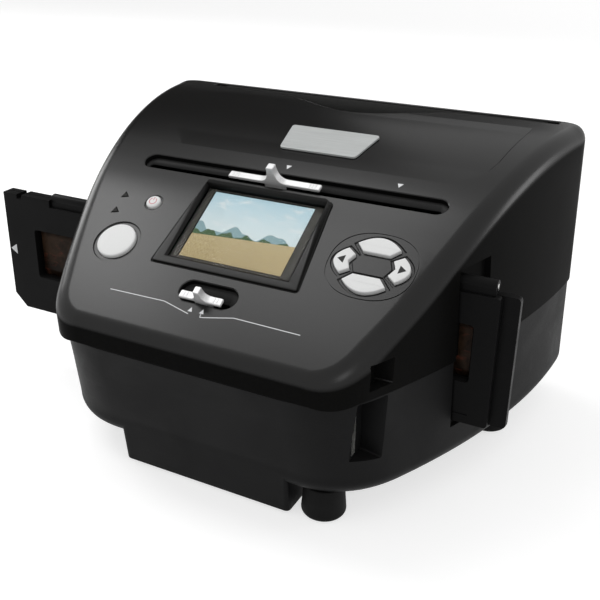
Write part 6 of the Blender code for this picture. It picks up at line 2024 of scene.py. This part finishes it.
@dataclass
class FilmHolder(SubAssembly):
    """The hinged film holder: two leaves with bevelled windows, its pin, a mark and the strip of film."""

    left: float = -0.148
    front_right: float = 0.1072
    back_right: float = 0.114
    front_y: float = SPACE.front_y
    back_y: float = 0.0142
    thickness: float = 0.0037
    low: float = SPACE.low
    top: float = 0.0935
    tab_top: float = SPACE.tab_top
    notch: float = -0.139
    notch_width: float = 0.003
    notch_depth: float = 0.0022
    chamfer: float = 0.007
    corner: float = 0.0015
    hinge_left: float = -0.118
    hinge_right: float = 0.105
    hinge_y: float = 0.01405
    hinge_radius: float = SPACE.hinge_radius
    pin_radius: float = 0.001
    play: float = 0.0003
    knuckles: int = 5
    first_frame: float = FILM.first
    pitch: float = FILM.pitch
    frame_width: float = FILM.frame
    frame_tall: float = 0.0245
    axis_height: float = 0.0669

    def outline(self, right: float) -> Outline:
        """Outline of a leaf: chamfered at its lower left, with a raised, notched tab at its left end."""
        notch_right = self.notch + self.notch_width
        notch_low = self.tab_top - self.notch_depth
        return [(self.left + self.chamfer, self.low), (right - self.corner, self.low),
                (right - 0.3 * self.corner, self.low + 0.3 * self.corner),
                (right, self.low + self.corner), (right, self.top - self.corner),
                (right - 0.3 * self.corner, self.top - 0.3 * self.corner),
                (right - self.corner, self.top), (self.hinge_left, self.top), (self.hinge_left, self.tab_top),
                (notch_right, self.tab_top), (notch_right, notch_low), (self.notch, notch_low),
                (self.notch, self.tab_top), (self.left, self.tab_top), (self.left, self.low + self.chamfer)]

    def leaf(self, name: str, right: float, front_y: float, first: int, outer_first: bool) -> Item:
        """One leaf.

        Args:
            name: The piece's name.
            right: Where its right end stands.
            front_y: Where its front face stands.
            first: Its first hinge knuckle, every second one from there.
            outer_first: Whether its front face is the outer one.

        Returns:
            The leaf.
        """
        soft = 0.0004
        thick = self.thickness
        edge = [(0.0, -soft), (soft * 0.3, -soft * 0.3), (soft, 0.0)]
        levels = edge + [(thick, 0.0)]
        bevel = [(-0.002, 0.0009), (0.0, 0.0008), (0.0014, 0.0002), (0.0022, 0.0), (thick + 0.002, 0.0)]
        if not outer_first:
            levels, bevel = ([(thick - z, out) for z, out in row[::-1]] for row in (levels, bevel))
        leaf = self.shop.panel(name, self.outline(right), front_y, levels)
        windows = []
        for i in range(6):
            left = self.first_frame + self.pitch * i
            tall = self.frame_tall / 2
            frame = rectangle(left, self.axis_height - tall, left + self.frame_width, self.axis_height + tall)
            windows.append(self.shop.panel("window", rounded(frame, 0.0009, 4), front_y, bevel))
        if outer_first:
            rim = rectangle(self.hinge_left + 0.002, self.low + 0.0042, right - 0.0085, self.low + 0.0047)
            windows.append(self.shop.panel("groove", rim, front_y, [(-0.002, 0.0), (0.0003, 0.0)]))
        self.shop.carve(leaf, windows)
        parts = [self.shop.polish(leaf)]
        play = self.play
        long = (self.hinge_right - self.hinge_left - play * (self.knuckles + 1)) / self.knuckles
        near, far = front_y + play, self.hinge_y + self.hinge_radius
        if outer_first:
            near, far = self.hinge_y - self.hinge_radius, front_y + thick - play
        for i in range(first, self.knuckles, 2):
            start = self.hinge_left + play + (long + play) * i
            parts.append(self.strap(start, start + long, near, far))
            parts.append(self.knuckle(start, long))
        return self.shop.merged(parts)

    def strap(self, left: float, right: float, near: float, far: float) -> Item:
        """The web that joins a knuckle to its leaf, a little hollowed towards the knuckle."""
        section = [(near, self.top - self.hinge_radius), (far, self.top - self.hinge_radius),
                   (far, self.tab_top), (near, self.tab_top), (near + 0.0002, self.tab_top - 0.0012)]
        return self.shop.beam("strap", section, left, right)

    def knuckle(self, left: float, long: float) -> Item:
        """A hinge knuckle: a bored tube with softened ends.

        Args:
            left: Where it starts.
            long: Its length.

        Returns:
            The knuckle.
        """
        outer = self.hinge_radius
        bore = self.pin_radius + self.play
        edge = 0.0003
        profile = [(bore, 0.0), (outer - edge, 0.0), (outer - edge * 0.3, edge * 0.3), (outer, edge)]
        profile += [(radius, long - height) for radius, height in reversed(profile)]
        place = Matrix.Translation((left, self.hinge_y, self.tab_top)) @ Matrix.Rotation(math.pi / 2, 4, "Y")
        return self.shop.turned("knuckle", profile, place, 40)

    def build(self) -> None:
        """Build the holder."""
        front = self.leaf("holder_front", self.front_right, self.front_y, 0, True)
        self.dress(front, HOLDER, Body.HOLDER, ["holder_front_leaf"])
        back = self.leaf("holder_back", self.back_right, self.back_y, 1, False)
        self.dress(back, HOLDER, Body.HOLDER, ["holder_back_leaf"])
        arrow = [(-0.147, 0.067), (-0.143, 0.0643), (-0.143, 0.0697)]
        mark = self.shop.panel("holder_arrow", arrow, self.front_y, [(-0.00003, 0.0), (0.0002, 0.0)])
        self.dress(mark, WHITE_INK, Body.HOLDER)
        self.restyle("holder_hinge_pin", SHEET_STEEL)
        self.film()

    def film(self) -> None:
        """The strip of film, perforated along both its edges and bowed slightly across its width."""
        left = self.first_frame - (self.pitch - self.frame_width) / 2
        right = left + self.pitch * 6
        shape = bmesh.new()
        rows = []
        for i in range(9):
            share = i / 4 - 1
            z = self.axis_height + 0.0175 * share
            y = self.back_y + 0.00002 + 0.00012 * share * share
            rows.append([shape.verts.new((x, y, z)) for x in (left, right)])
        for low, high in zip(rows[:-1], rows[1:]):
            shape.faces.new((low[0], low[1], high[1], high[0]))
        moved = bmesh.ops.extrude_face_region(shape, geom=shape.faces[:])
        for part in moved["geom"]:
            if isinstance(part, bmesh.types.BMVert):
                part.co.y += 0.00005
        strip = self.shop.enter("film", shape)
        holes = []
        through = [(-0.002, 0.0), (0.002, 0.0)]
        for side in (-1, 1):
            z = self.axis_height + side * 0.0141
            for i in range(48):
                x = left + (i + 0.5) * (right - left) / 48
                hole = rounded(rectangle(x - 0.001, z - 0.0014, x + 0.001, z + 0.0014), 0.0005, 2)
                holes.append(self.shop.panel("perforation", hole, self.back_y, through))
        self.dress(self.shop.carve(strip, holes), FILM, Body.HOLDER, ["film_strip"])


@dataclass
class Feet(SubAssembly):
    """Four round rubber feet with a shallow ring moulded into each sole."""

    radius: float = 0.0095
    top_radius: float = 0.0085
    curve: float = 0.0025
    spigot: float = 0.003
    top: float = 0.0147
    tip: float = 0.0172

    def build(self) -> None:
        """Build the feet."""
        edge = 0.0003
        profile = [(0.0, self.tip), (self.spigot - edge, self.tip), (self.spigot, self.tip - edge),
                   (self.spigot, self.top), (self.top_radius - edge, self.top),
                   (self.top_radius, self.top - edge)]
        profile += [(self.radius - self.curve * (1 - cosine), self.curve * (1 - sine))
                    for cosine, sine in quarter(6)]
        profile += [(0.0062, 0.0), (0.006, 0.0004), (0.0052, 0.0004), (0.005, 0.0), (0.0, 0.0)]
        for name, (x, y) in FEET.items():
            foot = self.shop.turned(name + "_pad", profile, Matrix.Translation((x, y, 0)), 72)
            self.dress(foot, RUBBER, Body.BASE, [name])


@dataclass
class Fasteners(SubAssembly):
    """Cross-recessed screws in the wells below and behind the face."""

    head_level: float = 0.0597
    head_radius: float = 0.003
    head_tall: float = 0.002
    radius: float = 0.0015
    tip_level: float = 0.073

    def build(self) -> None:
        """Build the housing screws and dress the board's."""
        for name in sorted(n for n in self.nodes if n.startswith("housing_screw")):
            low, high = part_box(name)
            centre = (low + high) / 2 - self.shop.middle.translation
            self.screw(name, centre.x, centre.y)
        for name in sorted(n for n in self.nodes if n.startswith("board_screw")):
            self.restyle(name, SCREW_STEEL)

    def screw(self, name: str, x: float, y: float) -> None:
        """One screw: a domed head with a cross recess, and a threaded shank.

        Args:
            name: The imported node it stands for.
            x: Across of its axis.
            y: Its axis towards the rear.
        """
        head = self.head_level
        profile = [(0.0, self.tip_level), (self.radius * 0.5, self.tip_level - 0.0004)]
        turns = 11
        pitch = (self.tip_level - 0.001 - head) / turns
        for i in range(turns):
            top = self.tip_level - 0.001 - pitch * i
            profile += [(self.radius * 0.78, top), (self.radius, top - pitch * 0.5)]
        profile.append((self.radius * 0.78, head))
        for i in range(6):
            turn = math.pi / 2 * i / 5
            profile.append((self.head_radius * math.cos(turn * 0.62),
                            head - 0.0004 - (self.head_tall - 0.0004) * math.sin(turn * 0.9)))
        profile.append((0.0, head - self.head_tall))
        item = self.shop.turned(name + "_threaded", profile, Matrix.Translation((x, y, 0)), 32)
        low = head - self.head_tall - 0.001
        for wide, deep in ((0.0015, 0.0003), (0.0003, 0.0015)):
            bar = self.shop.block("cross", (x - wide, y - deep, low), (x + wide, y + deep, head - 0.001))
            self.shop.carve(item, [bar])
        self.dress(self.shop.polish(item), SCREW_STEEL, Body.BASE, [name])


@dataclass
class Insides(SubAssembly):
    """What lies behind the shells keeps its solids and gets its finishes."""

    finishes: tuple[tuple[Finish, tuple[str, ...]], ...] = (
        (INNER, ("lcd_bracket", "backlight_carrier", "backlight_track", "focus_slide", "camera_body",
                 "camera_barrel", "film_gate", "photo_guide")),
        (BOARD, ("key_board", "sensor_board", "main_board", "photo_lamp_left", "photo_lamp_right")),
        (SHEET_STEEL, ("camera_bracket", "card_socket", "usb_socket")),
        (LENS, ("close_up_lens", "camera_glass")),
        (OPAL, ("backlight_diffuser",)),
    )

    def build(self) -> None:
        """Dress every inner node."""
        for finish, names in self.finishes:
            for name in names:
                self.restyle(name, finish)


@dataclass
class Studio:
    """The camera, the soft lights, the pale floor and the white surroundings."""

    place: Triple = (0.1938, -0.3432, 0.2382)
    turn: float = math.radians(28.23)
    tilt: float = math.radians(24.47)
    roll: float = math.radians(0.15)
    lens: float = 53.64
    shift: Point = (0.0433, -0.0117)

    lamps: tuple[tuple[str, Triple, float, Point, float], ...] = (
        ("left_strip", (-0.62, -0.02, 0.79), 1.1, (0.26, 0.3), 1.9),
        ("overhead_strip", (-0.34, 0.02, 0.94), 1.1, (0.34, 0.3), 1.4),
        ("left_softbox", (-0.92, 0.26, 0.29), 1.3, (0.45, 0.45), 3.0),
        ("high_softbox", (-0.29, 0.29, 0.91), 1.1, (0.3, 0.26), 0.9),
        ("right_softbox", (0.81, 0.567, 0.14), 1.2, (0.42, 0.3), 1.6),
        ("front_softbox", (0.56, -0.65, 0.51), 1.4, (0.35, 0.35), 1.2),
    )

    def build(self) -> None:
        """Set up everything round the object."""
        self.camera()
        for lamp in self.lamps:
            self.lamp(*lamp)
        self.flag()
        self.world()
        self.floor()
        bpy.context.scene.view_settings.view_transform = "Standard"

    def camera(self) -> None:
        """The camera at the photograph's place."""
        back = Vector((math.sin(self.turn) * math.cos(self.tilt), -math.cos(self.turn) * math.cos(self.tilt),
                       math.sin(self.tilt)))
        right = Vector((math.cos(self.turn), math.sin(self.turn), 0))
        up = back.cross(right)
        axes = Matrix((right, up, back)).transposed().to_4x4() @ Matrix.Rotation(self.roll, 4, "Z")
        data = bpy.data.cameras.new("camera")
        data.lens = self.lens
        data.sensor_width = 36.0
        data.shift_x, data.shift_y = self.shift
        data.clip_start = 0.01
        bpy.context.scene.camera = self.put("camera", data, Matrix.Translation(self.place) @ axes)

    @staticmethod
    def lamp(name: str, direction: Triple, distance: float, size: Point, power: float) -> None:
        """A softbox that faces the object, its long side level.

        Args:
            name: Its name.
            direction: From the object towards it.
            distance: How far away.
            size: Its long and its short side.
            power: Its power in watts.
        """
        data = bpy.data.lights.new(name, "AREA")
        data.shape = "RECTANGLE"
        data.size, data.size_y = size
        data.energy = power
        towards = Vector(direction).normalized()
        along = Vector((0, 1, 0)).cross(towards).normalized()
        axes = Matrix((along, towards.cross(along), towards)).transposed().to_4x4()
        Studio.put(name, data, Matrix.Translation(Vector((0, 0, 0.07)) + towards * distance) @ axes)

    @staticmethod
    def put(name: str, data: bpy.types.ID, place: Matrix | None = None) -> Item:
        """A new object in the scene, at a place of its own or at the origin."""
        item = bpy.data.objects.new(name, data)
        item.matrix_world = place or Matrix.Identity(4)
        bpy.context.scene.collection.objects.link(item)
        return item

    @staticmethod
    def plain_stage(item: Item, name: str, grey: float) -> tuple[NodeSheet, Node]:
        """Dress a thing that only surrounds the object in one matt grey.

        Args:
            item: The thing.
            name: Its material's name.
            grey: How light it is.

        Returns:
            The material's sheet and its shader.
        """
        material, sheet, shader = Finish(name, "", (grey, grey, grey)).start()
        sheet.fill(shader, Base_Color=(grey, grey, grey, 1.0), Roughness=0.9)
        item.data.materials.append(material)
        item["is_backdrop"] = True
        return sheet, shader

    @staticmethod
    def seen(sheet: NodeSheet) -> Socket:
        """One for rays that show the surroundings: straight on, mirrored or through glass."""
        rays = sheet.add("ShaderNodeLightPath")
        seen = sheet.math("MAXIMUM", rays.outputs["Is Camera Ray"], rays.outputs["Is Transmission Ray"])
        return sheet.math("MAXIMUM", seen, rays.outputs["Is Glossy Ray"])

    @staticmethod
    def flag() -> None:
        """A dark card high behind the object, outside the picture, that the top mirrors."""
        mesh = bpy.data.meshes.new("dark_card")
        corners = [(-2.2, 1.0, 0.2), (-0.05, 1.0, 0.2), (-0.05, 1.0, 0.45), (-0.42, 1.0, 0.62),
                   (-0.42, 1.0, 1.3), (-2.2, 1.0, 2.1)]
        mesh.from_pydata(corners, [], [tuple(range(len(corners)))])
        card = Studio.put("dark_card", mesh)
        card.visible_camera = False
        Studio.plain_stage(card, "card_black", 0.01)

    @staticmethod
    def world() -> None:
        """Soft light from all round, and plain white where the surroundings are seen or reflected."""
        world = bpy.data.worlds.new("surroundings")
        world.use_nodes = True
        sheet = NodeSheet(world.node_tree)
        world.node_tree.nodes.clear()
        seen = Studio.seen(sheet)
        light = sheet.fill(sheet.add("ShaderNodeBackground"), Color=(1.0, 1.0, 1.0, 1.0),
                           Strength=sheet.spread(seen, 0.0, 1.0, 0.66, 1.0, False))
        sheet.feed(sheet.add("ShaderNodeOutputWorld").inputs["Surface"], light.outputs[0])
        bpy.context.scene.world = world

    @staticmethod
    def floor() -> None:
        """A wide floor that is white to the camera and keeps the object's shadow."""
        shape = bmesh.new()
        bmesh.ops.create_grid(shape, x_segments=1, y_segments=1, size=3.0)
        mesh = bpy.data.meshes.new("floor")
        shape.to_mesh(mesh)
        shape.free()
        sheet, shader = Studio.plain_stage(Studio.put("floor", mesh), "floor_white", 0.55)
        sheet.fill(shader, Specular_IOR_Level=0.1, Emission_Color=(1.0, 1.0, 1.0, 1.0),
                   Emission_Strength=sheet.math("MULTIPLY", Studio.seen(sheet), 0.64))


def plain(bounds: object) -> object:
    """Bounds as plain lists of numbers."""
    if isinstance(bounds, (int, float)):
        return float(bounds)
    if isinstance(bounds, dict):
        return {key: plain(part) for key, part in bounds.items()}
    return [plain(part) for part in bounds]


def main() -> None:
    """Build the scanner and its surroundings."""
    logging.basicConfig(level=logging.INFO, format="%(name)s: %(message)s")
    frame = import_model()
    solid_box = plain(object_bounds())
    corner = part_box("holder_front_leaf")[0]
    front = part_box("upper_housing")[0]
    shop = Workshop(Vector((corner.x - FilmHolder.left, front.y - FORM.front_y, 0)))
    tools = (shop, Palette(Effects()), frame["nodes"])
    Studio().build()
    keys = KeyPad(*tools)
    screen = ScreenUnit(*tools)
    lamps = Lamps(*tools)
    plate = NamePlate(*tools)
    openings = keys.cutters() + lamps.cutters() + [keys.groove(), screen.seat_tool(), plate.cutter()]
    UpperShell(*tools).build(openings, [screen.opening_tool()])
    LowerShell(*tools).build()
    screen.build()
    plate.build()
    keys.build()
    lamps.build()
    Sliders(*tools).build()
    FaceMarks(*tools).build()
    FilmHolder(*tools).build()
    Feet(*tools).build()
    Fasteners(*tools).build()
    Insides(*tools).build()
    bpy.context.view_layer.update()
    sizes = {"solid_box": solid_box, "visual_box": plain(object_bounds())}
    LOG.info("sizes: %s", sizes)


if __name__ == "__main__":
    main()
